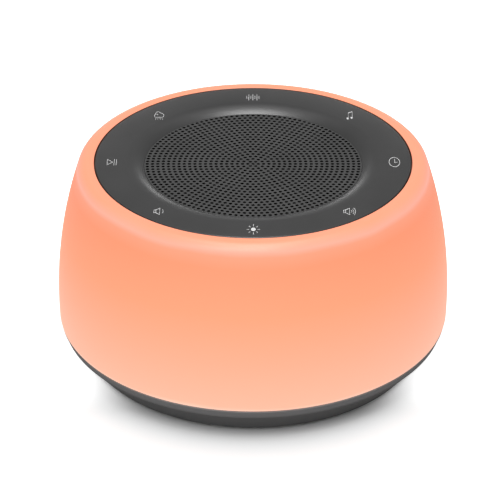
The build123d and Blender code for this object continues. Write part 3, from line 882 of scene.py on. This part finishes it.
# ----------------------------------------------------------------- sub-assemblies
@dataclass
class GlowShade:
    """The translucent shade: a slow side curve, a round shoulder and a flat rim with its ledge."""

    radius: float = 60.18
    foot: float = 12.5
    belly_rise: float = 6.3
    belly_bulge: float = 0.12
    foot_round: float = 1.1
    height: float = 52.0
    shoulder_inset: float = 7.8
    shoulder: float = 3.2
    wall: float = 2.0
    rim: float = 4.35
    ledge: float = 2.45
    ledge_thickness: float = 2.0
    panel_thickness: float = 2.2
    edge: float = 0.25
    steps: int = 360
    outside_steps: int = 60
    inside_steps: int = 50
    shoulder_steps: int = 16
    foot_steps: int = 9
    edge_steps: int = 5

    @property
    def top(self) -> float:
        """Height of the rim."""
        return self.foot + self.height

    @property
    def side_radius(self) -> float:
        """Radius of the side's slow curve, which comes in by i over the rise h: (i^2 + h^2) / 2i."""
        rise = self.height - self.belly_rise
        return (self.shoulder_inset**2 + rise**2) / (2 * self.shoulder_inset)

    def side(self, height: Any, inset: float = 0.0) -> Any:
        """Radius of the wall at a height: the slow side curve, and a shorter one in to the seam.

        Above the belly the radius is R - S + sqrt((S - inset)^2 - rise^2) for a side curve of radius S,
        and below it R - inset - B + sqrt(B^2 - rise^2) for a foot curve of radius B.

        Args:
            height: The height, or an array of heights.
            inset: How far inside the outer face.

        Returns:
            The radius at each height.
        """
        rise = height - self.foot - self.belly_rise
        bend = (self.belly_rise**2 + self.belly_bulge**2) / (2 * self.belly_bulge)
        below = self.radius - inset - bend + np.sqrt(bend**2 - np.minimum(rise, 0) ** 2)
        above = self.radius - self.side_radius + np.sqrt((self.side_radius - inset) ** 2 - rise**2)
        return np.where(rise < 0, below, above)

    def outline(self) -> Array:
        """The closed section: up the outside, over the shoulder, in along the rim, down the inside.

        Returns:
            The section as (radius, height).
        """
        crown = self.top - self.shoulder
        reach = self.side_radius - self.shoulder
        lift = crown - self.foot - self.belly_rise
        centre = self.radius - self.side_radius + math.sqrt(reach**2 - lift**2)
        lean = math.degrees(math.asin(lift / reach))
        shoulder = arc((centre, crown), self.shoulder, lean, 90, self.shoulder_steps)
        up = np.linspace(self.foot + self.foot_round, shoulder[0, 1], self.outside_steps)[:-1]
        opening = float(self.side(self.top)) - self.rim
        under = self.top - self.panel_thickness
        shelf = under - self.ledge_thickness
        down = np.linspace(shelf, self.foot + self.edge, self.inside_steps)
        inside = np.stack([self.side(down, self.wall), down], axis=-1)
        rim = arc((opening + self.edge, self.top - self.edge), self.edge, 90, 180, self.edge_steps)
        ledge = [(opening, under), (opening - self.ledge, under), (opening - self.ledge, shelf)]
        seam = float(self.side(up[0]))
        heel = [(seam - self.wall + self.edge, self.foot)]
        foot = arc((seam - self.foot_round, up[0]), self.foot_round, -90, 0, self.foot_steps)[:-1]
        outside = np.stack([self.side(up), up], axis=-1)
        return np.concatenate([outside, shoulder, rim, ledge, inside, heel, foot])

    def build(self) -> None:
        """Turns the shade and lets it glow."""
        glow = GlowingDiffuser("milky diffuser", (0.50, 0.17, 0.09), 0.36)
        skin = Shell().lathe(self.outline(), self.steps).piece("shade_skin", glow)
        show(skin, "shade_diffuser", "shade")


@dataclass
class BowlBase:
    """The dark bowl under the shade, its flared lip and its rubber ring."""

    crease_radius: float = 58.85
    crease: float = 10.0
    lip_radius: float = 59.85
    lip_top: float = 12.51
    lip_depth: float = 0.9
    edge: float = 0.18
    steps: int = 360
    edge_steps: int = 6

    def lip(self) -> Array:
        """The lip's closed section: up the flare from the crease, round the edge, in under the shade.

        Returns:
            The section as (radius, height).
        """
        inner = self.lip_radius - self.lip_depth
        centre = (self.lip_radius - self.edge, self.lip_top - self.edge)
        edge = arc(centre, self.edge, -20, 90, self.edge_steps)
        foot = [(inner, self.crease), (self.crease_radius, self.crease)]
        return np.concatenate([foot, edge, [(inner, self.lip_top)]])

    def build(self) -> None:
        """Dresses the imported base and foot, and turns the lip that flares out from the base's crease."""
        # the base's lip is painted lighter as lit, and its flank is left darker
        grey = PaintedLightLipPlastic("base grey plastic", (0.122, 0.122, 0.124), 0.46)
        dress_nodes(grey, "base_housing")
        show(Shell().lathe(self.lip(), self.steps).piece("base_lip", grey), "base_plastic")
        dress_nodes(Rubber("foot rubber", (0.018, 0.018, 0.018), 0.795), "rubber_foot")


@dataclass
class TouchPanel:
    """The dark panel: a flat ring of keys that rolls down into the grille's dish."""

    radius: float = 47.7
    top: float = 64.46
    thickness: float = 2.16
    dish_width: float = 5.6
    dish_depth: float = 1.66
    pocket: float = 33.0
    grille_thickness: float = 1.0
    ring_thickness: float = 3.2
    ring_bore: float = 27.5
    edge: float = 0.2
    bosses: int = 4
    boss_circle: float = 37.6
    boss_radius: float = 2.4
    boss_bore: float = 1.55
    boss_foot: float = 48.0
    bore_depth: float = 8.4
    boss_turn: float = 22.5
    steps: int = 360
    dish_steps: int = 28
    edge_steps: int = 5
    boss_steps: int = 32

    def outline(self) -> Array:
        """The closed section: up the edge, in along the top, down the dish, back out underneath.

        Returns:
            The section as (radius, height).
        """
        bend = (self.dish_width**2 + self.dish_depth**2) / (2 * self.dish_depth)
        slope = 2 * math.degrees(math.atan2(self.dish_depth, self.dish_width))
        crest = self.pocket + self.dish_width
        dish = arc((crest, self.top - bend), bend, 90, 90 + slope, self.dish_steps)
        under = self.top - self.thickness
        seat = self.top - self.dish_depth - self.grille_thickness
        ring_under = seat - self.ring_thickness
        edge = arc((self.radius - self.edge, self.top - self.edge), self.edge, 0, 90, self.edge_steps)
        ring = [(self.pocket, seat), (self.ring_bore, seat), (self.ring_bore, ring_under)]
        foot = [(self.pocket + self.thickness, ring_under), (crest, under), (self.radius, under)]
        return np.concatenate([edge, dish, ring, foot])

    def boss(self) -> Array:
        """A screw boss's closed section: its foot, its side up to the panel, and the blind bore.

        Returns:
            The section as (radius, height) round the boss's own axis.
        """
        foot, under, floor = self.boss_foot, self.top - self.thickness, self.boss_foot + self.bore_depth
        side = [(self.boss_bore, foot), (self.boss_radius, foot), (self.boss_radius, under)]
        return np.array(side + [(0.0, under), (0.0, floor), (self.boss_bore, floor)])

    def build(self) -> None:
        """Turns the panel and adds the screw bosses under it."""
        shell = Shell().lathe(self.outline(), self.steps)
        turns = self.boss_turn + 360 / self.bosses * np.arange(self.bosses)
        for place in polar(self.boss_circle, np.radians(turns)):
            shell.lathe(self.boss(), self.boss_steps, tuple(place))
        plastic = PanelPlastic("panel black plastic", (0.0295, 0.0295, 0.0295), 0.34)
        show(shell.piece("panel_skin", plastic), "panel_plastic", "control_panel")


@dataclass
class PerforatedGrille:
    """The speaker grille: rings of small holes round a centre hole, six more in each ring."""

    radius: float = 32.9
    top: float = 62.8
    thickness: float = 1.0
    rings: int = 20
    pitch: float = 1.6
    hole: float = 0.54
    last_ring_reach: float = 33.1
    rim_margin: float = 0.15
    sides: int = 12

    def places(self, q: Array, r: Array) -> Array:
        """Where the holes stand.

        A hole at hexagonal coordinates (q, r) is on ring k = max(|q|, |r|, |q + r|). Its sector and
        its step along it give its number j on the ring, and its place is k pitches out, at 360 j / 6k
        degrees.

        Args:
            q: First hexagonal coordinates.
            r: Second hexagonal coordinates.

        Returns:
            The places, with one more axis of length 2.
        """
        s = -q - r
        ring = np.maximum(np.abs(q), np.maximum(np.abs(r), np.abs(s)))
        sectors = [
            (r == -ring, q),
            (q == ring, ring + (r + ring)),
            (s == -ring, ring * 2 + r),
            (r == ring, ring * 3 - q),
            (q == -ring, ring * 4 + (ring - r)),
            (s == ring, ring * 5 - r),
        ]
        number = np.select([test for test, _ in sectors], [value for _, value in sectors])
        angle = np.where(ring > 0, 2 * np.pi * number / np.maximum(6 * ring, 1), 0)
        return polar(np.where(ring > self.rings, self.last_ring_reach, ring * self.pitch), angle)

    def build(self) -> None:
        """Tiles the plate with one hexagonal cell to each hole, and closes its rim.

        Each cell's corners are the middles of the triangles between neighbouring holes. The hole's
        edge points lie towards the cell's corners and the middles of its sides.
        """
        span = np.arange(-self.rings, self.rings + 1)
        q, r = (axis.reshape(-1) for axis in np.meshgrid(span, span))
        inside = np.abs(q + r) <= self.rings
        q, r = q[inside][:, None], r[inside][:, None]
        step_q, step_r = np.array([1, 0, -1, -1, 0, 1]), np.array([0, 1, 1, 0, -1, -1])
        middle = self.places(q, r)
        first = self.places(q + step_q, r + step_r)
        second = self.places(q + np.roll(step_q, -1), r + np.roll(step_r, -1))
        corner = (middle + first + second) / 3
        side = (corner + np.roll(corner, -1, axis=1)) / 2
        outer = np.stack([corner, side], axis=2).reshape(len(q), self.sides, 2)
        towards = outer - middle
        inner = middle + self.hole * towards / np.linalg.norm(towards, axis=-1, keepdims=True)
        clockwise = (np.cross(towards[:, 0], towards[:, 1]) < 0)[:, None, None]
        outer, inner = (np.where(clockwise, loop[:, ::-1], loop) for loop in (outer, inner))
        bottom = self.top - self.thickness
        stations = [(outer, self.top), (inner, self.top), (inner, bottom), (outer, bottom)]
        loops = [at_height(flat, height) for flat, height in stations]
        start = (np.arange(len(q)) * self.sides * 2)[:, None]
        here = start + np.arange(self.sides)
        on = start + (np.arange(self.sides) + 1) % self.sides
        quads = np.stack([here, on, self.sides + on, self.sides + here], axis=-1).reshape(-1, 4)
        shell = Shell()
        for above, below in zip(loops, loops[1:]):
            shell.add(np.concatenate([above, below], axis=1), quads)
        self.close_rim(shell, outer.reshape(-1, 2), bottom)
        plastic = PiercedPlastic("grille black plastic", (0.086, 0.086, 0.086), 0.46)
        show(shell.piece("grille_plate", plastic), "grille_plastic", "speaker_grille")

    def close_rim(self, shell: Shell, edge: Array, bottom: float) -> None:
        """Joins the outermost cells to the plate's round edge.

        Args:
            shell: The plate so far.
            edge: All cell corners, of which those past the last ring are used.
            bottom: Height of the underside.
        """
        far = np.linalg.norm(edge, axis=1) > self.rings * self.pitch + self.rim_margin
        rim = np.unique(np.round(edge[far], 6), axis=0)
        angle = np.arctan2(rim[:, 1], rim[:, 0])
        rim = rim[np.argsort(angle)]
        round_edge = polar(self.radius, np.sort(angle))
        loops = [(rim, self.top), (round_edge, self.top), (round_edge, bottom), (rim, bottom)]
        section = np.stack([at_height(flat, height) for flat, height in loops], axis=1)
        shell.grid(section[::-1], wrap_u=True)


@dataclass
class DustCloth:
    """The black cloth that is stretched across the driver's opening, under the grille."""

    radius: float = 27.38
    top: float = 61.79
    thickness: float = 0.18
    fold: float = 0.06
    steps: int = 180
    rings: int = 8

    def outline(self) -> Array:
        """The closed section: out along the underside in short steps, round the cut edge, back in.

        Returns:
            The section as (radius, height).
        """
        reach = np.linspace(0.0, self.radius - self.fold, self.rings)
        under = np.stack([reach, np.full_like(reach, self.top - self.thickness)], axis=-1)
        over = np.stack([reach[::-1], np.full_like(reach, self.top)], axis=-1)
        return np.concatenate([under, [[self.radius, self.top - self.thickness / 2]], over])

    def build(self) -> None:
        """Cuts the round cloth and stretches it under the grille."""
        finish = Cloth("dust cloth", (0.010, 0.010, 0.010), 0.9)
        cloth = Shell().lathe(self.outline(), self.steps).piece("dust_cloth", finish)
        show(cloth, "scrim_cloth", "dust_scrim")


@dataclass
class SoftSuspension:
    """The driver's rubber surround and cloth spider, each held between the basket and the cone."""

    thickness: float = 0.4
    gores: int = 36
    gore_steps: int = 6
    surround_lap: float = 20.9
    roll_start: float = 22.5
    roll_end: float = 25.4
    surround_edge: float = 27.4
    surround_seat: float = 57.1
    roll_height: float = 1.4
    roll_steps: int = 17
    spider_bore: float = 7.15
    spider_land: float = 14.2
    spider_edge: float = 17.1
    spider_seat: float = 47.5
    wave_height: float = 0.7
    waves: int = 3
    wave_steps: int = 37

    def surround_underside(self) -> Array:
        """The surround's lower line: two flat laps joined by a half wave of the roll's height.

        Returns:
            The line, outward, as (radius, height).
        """
        along = np.linspace(0.0, 1.0, self.roll_steps)
        radius = self.roll_start + (self.roll_end - self.roll_start) * along
        roll = np.stack([radius, self.surround_seat + self.roll_height * np.sin(np.pi * along)], axis=-1)
        lap, edge = (self.surround_lap, self.surround_seat), (self.surround_edge, self.surround_seat)
        return np.concatenate([[lap], roll, [edge]])

    def spider_underside(self) -> Array:
        """The spider's lower line: full waves under a tent that peaks half way out, then a flat land.

        Returns:
            The line, outward, as (radius, height).
        """
        along = np.linspace(0.0, 1.0, self.wave_steps)
        tent = 1 - np.abs(2 * along - 1)
        wave = (1 - np.cos(2 * np.pi * self.waves * along)) / 2
        radius = self.spider_bore + (self.spider_land - self.spider_bore) * along
        waves = np.stack([radius, self.spider_seat + self.wave_height * tent * wave], axis=-1)
        return np.concatenate([waves, [(self.spider_edge, self.spider_seat)]])

    def ring(
        self, name: str, underside: Array, still: float, moving: float, finish: Finish
    ) -> bpy.types.Object:
        """Turns a soft ring in gores and welds them into one piece.

        Args:
            name: The piece's name.
            underside: The ring's lower line, outward, as (radius, height).
            still: Radius from which the basket holds the ring; not used.
            moving: Radius up to which the cone carries it; not used.
            finish: What it is made of.

        Returns:
            The welded ring.
        """
        half = math.pi / self.gores
        outline = np.concatenate([underside, underside[::-1] + (0.0, self.thickness)])
        gores = []
        for number in range(self.gores):
            bearing = 2 * half * number
            angles = bearing + np.linspace(-half, half, self.gore_steps)
            gore = Shell().sweep(outline, angles, False).piece(f"{name}_{number}", finish)
            gores.append(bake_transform(gore))
        ring = gores[0]
        with bpy.context.temp_override(active_object=ring, selected_editable_objects=gores):
            bpy.ops.object.join()
        ring.name = ring.data.name = name
        weld = bmesh.new()
        weld.from_mesh(ring.data)
        bmesh.ops.remove_doubles(weld, verts=weld.verts, dist=WELD)
        weld.to_mesh(ring.data)
        weld.free()
        return ring

    def build(self) -> None:
        """Makes both rings."""
        rubber = Rubber("surround rubber", (0.012, 0.012, 0.012), 0.575)
        line = self.surround_underside()
        roll = self.ring("surround_roll", line, self.roll_end, self.roll_start, rubber)
        stand_in(roll, "surround_rubber", "surround")
        cloth = Cloth("spider cloth", (0.50, 0.30, 0.08), 0.8, pitch=0.6)
        line = self.spider_underside()
        corrugation = self.ring("spider_corrugation", line, self.spider_land, self.spider_bore, cloth)
        stand_in(corrugation, "spider_cloth", "spider")


class Sign(Enum):
    """The signs printed round the panel: each one's place in millimetres and how tall it is drawn."""

    CLOCK = (42.6, -1.95, 1.86)
    NOTE = (30.12, 28.85, 1.9)
    WAVES = (-0.06, 41.3, 1.9)
    RAIN = (-29.25, 29.05, 1.9)
    PLAY = (-42.68, -1.97, 1.9)
    SOFTER = (-27.46, -32.33, 1.9)
    SUN = (0.08, -42.97, 1.5)
    LOUDER = (28.4, -32.4, 1.9)


@dataclass
class Pen:
    """Lays the thin strokes of one sign round its own middle."""

    film: float = 0.015
    layer: float = 0.001
    broad: float = 0.15
    thin: float = 0.12
    mitre_limit: float = 0.7
    face_steps: int = 48
    bow_steps: int = 20
    lobe_steps: int = 14
    dot_steps: int = 24
    shell: Shell = field(default_factory=Shell)

    def stroke(self, path: Array, closed: bool, width: float) -> None:
        """Carries a flat section along a path.

        At each path point the edges stand half the width to both sides, along the mitre between the
        two neighbouring runs, and the film's thickness above the panel. Each further stroke of a sign
        is a hair thicker than the last, so that crossings don't share a face.

        Args:
            path: Points of the line, in millimetres.
            closed: Whether the path joins its own start.
            width: The line's width.
        """
        if closed:
            before, after = path - np.roll(path, 1, axis=0), np.roll(path, -1, axis=0) - path
        else:
            runs = np.diff(path, axis=0)
            before, after = np.vstack([runs[:1], runs]), np.vstack([runs, runs[-1:]])
        before /= np.linalg.norm(before, axis=1, keepdims=True)
        after /= np.linalg.norm(after, axis=1, keepdims=True)
        along = before + after
        along /= np.linalg.norm(along, axis=1, keepdims=True)
        normal = np.stack([-along[:, 1], along[:, 0]], axis=-1)
        mitre = np.maximum((along * after).sum(axis=1, keepdims=True), self.mitre_limit)
        offset = normal * width / 2 / mitre
        film = self.film + self.layer * len(self.shell.points)
        left, right = path + offset, path - offset
        section = [(left, film), (right, film), (right, 0.0), (left, 0.0)]
        points = np.stack([at_height(flat, height) for flat, height in section], axis=1)
        self.shell.grid(points[::-1], wrap_u=closed, wrap_v=True)
        if not closed:
            ends = np.concatenate([points[0], points[-1]])
            self.shell.add(ends, np.array([[3, 2, 1, 0], [4, 5, 6, 7]]))

    def line(self, *points: Pair, closed: bool = False, width: float | None = None) -> None:
        """Adds a line through the points, broad unless a width is given."""
        self.stroke(np.array(points, float), closed, width or self.broad)

    def bow(self, centre: Pair, radius: float, start: float, end: float) -> None:
        """Adds a thin circular line between two angles in degrees."""
        self.stroke(arc(centre, radius, start, end, self.bow_steps), False, self.thin)

    def dot(self, centre: Pair, radius: float) -> None:
        """Adds a filled disc."""
        rim = np.array([(0.0, 0.0), (radius, 0.0), (radius, self.film), (0.0, self.film)])
        self.shell.lathe(rim, self.dot_steps, centre)


@dataclass
class KeySigns:
    """Thin printed signs over the touch keys, drawn tall so that they read from the front."""

    top: float = 64.46

    def draw(self, sign: Sign) -> Shell:
        """Draws one sign round its own middle.

        Args:
            sign: Which one.

        Returns:
            Its strokes, in millimetres, standing at height 0.
        """
        pen = Pen()
        if sign is Sign.CLOCK:
            pen.stroke(arc((0, 0), 1.6, 0, 360, pen.face_steps + 1)[:-1], True, pen.broad)
            pen.line((0.1, 1.1), (0.1, -0.3))
            pen.line((0.1, -0.12), (0.88, -0.06), width=pen.thin)
        elif sign is Sign.SUN:
            pen.dot((0.0, 0.0), 0.68)
            for turn in range(8):
                pen.line(*polar(np.array([1.2, 1.8 if turn % 2 else 1.95]), math.pi / 4 * turn))
        elif sign is Sign.PLAY:
            pen.line((-1.27, -0.92), (-1.27, 0.92), (0.35, 0.0), closed=True)
            for x in (0.82, 1.47):
                pen.line((x, -1.05), (x, 1.05), width=pen.thin)
        elif sign is Sign.WAVES:
            for step, tall in enumerate((0.5, 1.1, 0.55, 1.1, 0.55, 1.1, 0.5)):
                x = (step - 3) * 0.64
                pen.line((x, -tall), (x, tall), width=0.145)
        elif sign is Sign.NOTE:
            pen.dot((-0.74, -1.12), 0.34)
            pen.dot((0.50, -0.84), 0.34)
            pen.line((-0.42, -1.1), (-0.42, 0.98), width=0.07)
            pen.line((0.80, -0.84), (0.80, 1.3), width=0.09)
            pen.line((-0.46, 0.92), (0.85, 1.34), width=0.2)
        elif sign is Sign.RAIN:
            left, top = ((-0.88, -0.2), 0.58, 270, 115), ((-0.42, 0.5), 0.74, 175, 35)
            right = ((0.78, -0.1), 0.66, 85, -90)
            cloud = np.concatenate([arc(*lobe, pen.lobe_steps) for lobe in (left, top, right)])
            pen.stroke(cloud, True, pen.thin)
            pen.bow((-0.88, -0.2), 0.58, 95, 30)
            for x, slant in ((-0.95, -0.2), (-0.33, -0.08), (0.33, 0.08), (0.95, 0.2)):
                pen.line((x, -1.15), (x + slant, -1.6), width=0.11)
        else:
            soft = sign is Sign.SOFTER
            back, neck, horn = (-1.47, -0.87, 0.24) if soft else (-2.02, -1.45, -0.28)
            box = (back, -0.42), (back, 0.42), (neck, 0.42), (neck, -0.42)
            pen.line(*box, closed=True, width=pen.thin)
            pen.line((neck, -0.42), (neck, 0.42), (horn, 1.02), (horn, -1.02), closed=True)
            middle, reach, radii = (0.14, 34, (1.1,)) if soft else (-0.1, 45, (0.5, 1.05, 1.55))
            for radius in radii:
                pen.bow((middle, 0.0), radius, -reach, reach)
        return pen.shell

    def build(self) -> None:
        """Prints each sign in its place."""
        ink = PrintedInk("white key ink", (0.84, 0.84, 0.84), 0.55)
        for sign in Sign:
            across, back, tall = sign.value
            shell, place = self.draw(sign), (across, back, self.top)
            shell.points = [points * (1.0, tall, 1.0) + place for points in shell.points]
            show(shell.piece(f"sign_{sign.name.lower()}", ink))


class Insides:
    """Everything behind the shade and the panel, each kind in its own finish."""

    FINISHES: dict[str, Finish] = {
        "base_screws panel_screws board_screws speaker_screws": PlatedSteel(
            "zinc-plated steel", (0.60, 0.60, 0.59), 0.35
        ),
        "top_plate yoke": PlatedSteel("ground steel", (0.52, 0.53, 0.54), 0.4),
        "power_socket": PlatedSteel(
            "drawn socket shell", (0.66, 0.66, 0.67), 0.3, stretch=(1.0, 0.06, 1.0)
        ),
        "capacitors clock_crystal": PlatedSteel("drawn can", (0.72, 0.72, 0.72), 0.28),
        "terminal_lugs": PlatedSteel("tinned brass", (0.75, 0.62, 0.36), 0.35, stretch=(0.06, 1.0, 1.0)),
        "inner_core": MouldedPlastic(
            "core white plastic", (0.82, 0.82, 0.80), 0.42, mottle=(0.98, 1.02)
        ),
        "speaker_plug lamp_plug touch_plug touch_connector": MouldedPlastic(
            "connector nylon", (0.74, 0.70, 0.60), 0.5, mottle=(0.96, 1.04)
        ),
        "sound_processor amplifier_chip sound_memory touch_chip socket_tongue": MouldedPlastic(
            "black resin", (0.02, 0.02, 0.02), 0.6, mottle=(0.8, 1.2), grain=(0.1, 2.0)
        ),
        "terminal_strip": MouldedPlastic("phenolic strip", (0.28, 0.15, 0.07), 0.55),
        "speaker_lead": MouldedPlastic("red lead", (0.42, 0.03, 0.02), 0.4, grain=(0.5, 2.0)),
        "lamp_lead": MouldedPlastic("white lead", (0.75, 0.75, 0.72), 0.4, grain=(0.5, 2.0)),
        "touch_ribbon": MouldedPlastic("ribbon film", (0.80, 0.77, 0.68), 0.35, grain=(1.0, 2.0)),
        "magnet": MouldedPlastic("ferrite", (0.025, 0.025, 0.028), 0.7, grain=(0.6, 2.0), depth=0.03),
        "main_board touch_board": CircuitLaminate("green laminate", (0.02, 0.13, 0.05), 0.35),
        "led_board": CircuitLaminate("white laminate", (0.68, 0.68, 0.64), 0.4),
        "leds": PhosphorLamp("phosphor lamp", (0.90, 0.62, 0.20), 0.35),
        "speaker_basket": Lacquer("basket lacquer", (0.015, 0.015, 0.015), 0.35),
        "speaker_gasket": Rubber("gasket foam", (0.03, 0.03, 0.03), 0.925),
        "speaker_cone dust_cap": PulpPaper("cone paper", (0.03, 0.03, 0.03), 0.85),
        "coil_former": PulpPaper("former paper", (0.35, 0.19, 0.08), 0.8),
        "voice_coil": CopperWinding("copper winding", (0.80, 0.36, 0.18), 0.305),
    }

    def build(self) -> None:
        """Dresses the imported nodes, kind by kind."""
        for nodes, finish in self.FINISHES.items():
            dress_nodes(finish, *nodes.split())


@dataclass(frozen=True)
class Softbox:
    """A soft light that faces the middle of the object.

    Its place and its size are in metres. Its level is how bright its face is, 1 being as bright as the
    white background.
    """

    name: str
    place: Triple
    size: Pair
    level: float
    middle: float = 0.04

    def hang(self) -> None:
        """Hangs the light and turns it to the middle of the object."""
        lamp = bpy.data.lights.new(self.name, "AREA")
        lamp.shape, (lamp.size, lamp.size_y) = "RECTANGLE", self.size
        lamp.energy = self.level * math.pi * self.size[0] * self.size[1]
        light = add_object(self.name, lamp)
        light.location = self.place
        x, y, z = self.place
        light.rotation_euler = (math.atan2(math.hypot(x, y), z - self.middle), 0.0, math.atan2(x, -y))


@dataclass
class Studio:
    """A white floor, soft light from above and the camera."""

    stand_back: float = 700.0
    eye_height: float = 438.0
    pitch: float = 30.07
    focal: float = 189.0
    shift: float = -0.00616
    clip: Pair = (50.0, 20000.0)
    floor_radius: float = 4000.0
    floor_steps: int = 9
    sky: float = 0.224
    lights: tuple[Softbox, ...] = (
        Softbox("overhead softbox", (0.0, -0.19, 1.05), (0.42, 1.0), 4.9),
        Softbox("trailing softbox", (0.0, 0.52, 1.05), (0.34, 0.4), 0.7),
        Softbox("front softbox", (-0.15, -1.0, 0.95), (0.9, 0.7), 3.7),
        Softbox("rear softbox -1", (-0.28, 2.0, 0.18), (0.24, 0.34), 1.9),
        Softbox("rear softbox 1", (0.28, 2.0, 0.18), (0.24, 0.34), 1.9),
    )

    def camera(self) -> None:
        """Stands the camera in front, looking down at the panel."""
        lens = bpy.data.cameras.new("camera")
        lens.lens = self.focal
        lens.shift_x = self.shift
        lens.clip_start, lens.clip_end = (distance * MM for distance in self.clip)
        eye = add_object("camera", lens)
        eye.location = (0.0, -self.stand_back * MM, self.eye_height * MM)
        eye.rotation_euler = (math.radians(90 - self.pitch), 0.0, 0.0)
        bpy.context.scene.camera = eye

    def floor(self) -> None:
        """Lays the white sheet, a flat square."""
        span = np.linspace(-self.floor_radius, self.floor_radius, self.floor_steps)
        shell = Shell()
        shell.grid(at_height(np.stack(np.meshgrid(span, span, indexing="ij"), axis=-1), 0.0))
        shell.piece("floor", StudioWhite("studio floor", (1.0, 1.0, 1.0), 0.9))

    def world(self) -> None:
        """Makes an even sky that the camera sees as plain white."""
        sky = Graph(bpy.data.worlds.new("studio sky"))
        seen = sky.node("ShaderNodeLightPath").outputs["Is Camera Ray"]
        levels = {"Value": seen, "To Min": self.sky, "To Max": 1.0}
        strength = sky.number("ShaderNodeMapRange", None, levels)
        light = {"Color": (1.0, 1.0, 1.0), "Strength": strength}
        background = sky.node("ShaderNodeBackground", None, light)
        sky.node("ShaderNodeOutputWorld", None, {0: background.outputs[0]})
        bpy.context.scene.world = sky.holder

    def build(self) -> None:
        """Sets the whole studio up."""
        self.camera()
        self.world()
        self.floor()
        for light in self.lights:
            light.hang()
        bpy.context.scene.view_settings.view_transform = "Standard"


def main() -> None:
    logging.basicConfig(level=logging.INFO, format="%(name)s: %(message)s")
    outside = (Studio(), GlowShade(), BowlBase(), TouchPanel(), PerforatedGrille(), KeySigns())
    for part in (*outside, DustCloth(), SoftSuspension(), Insides()):
        log.info("building %s", type(part).__name__)
        part.build()


if __name__ == "__main__":
    main()
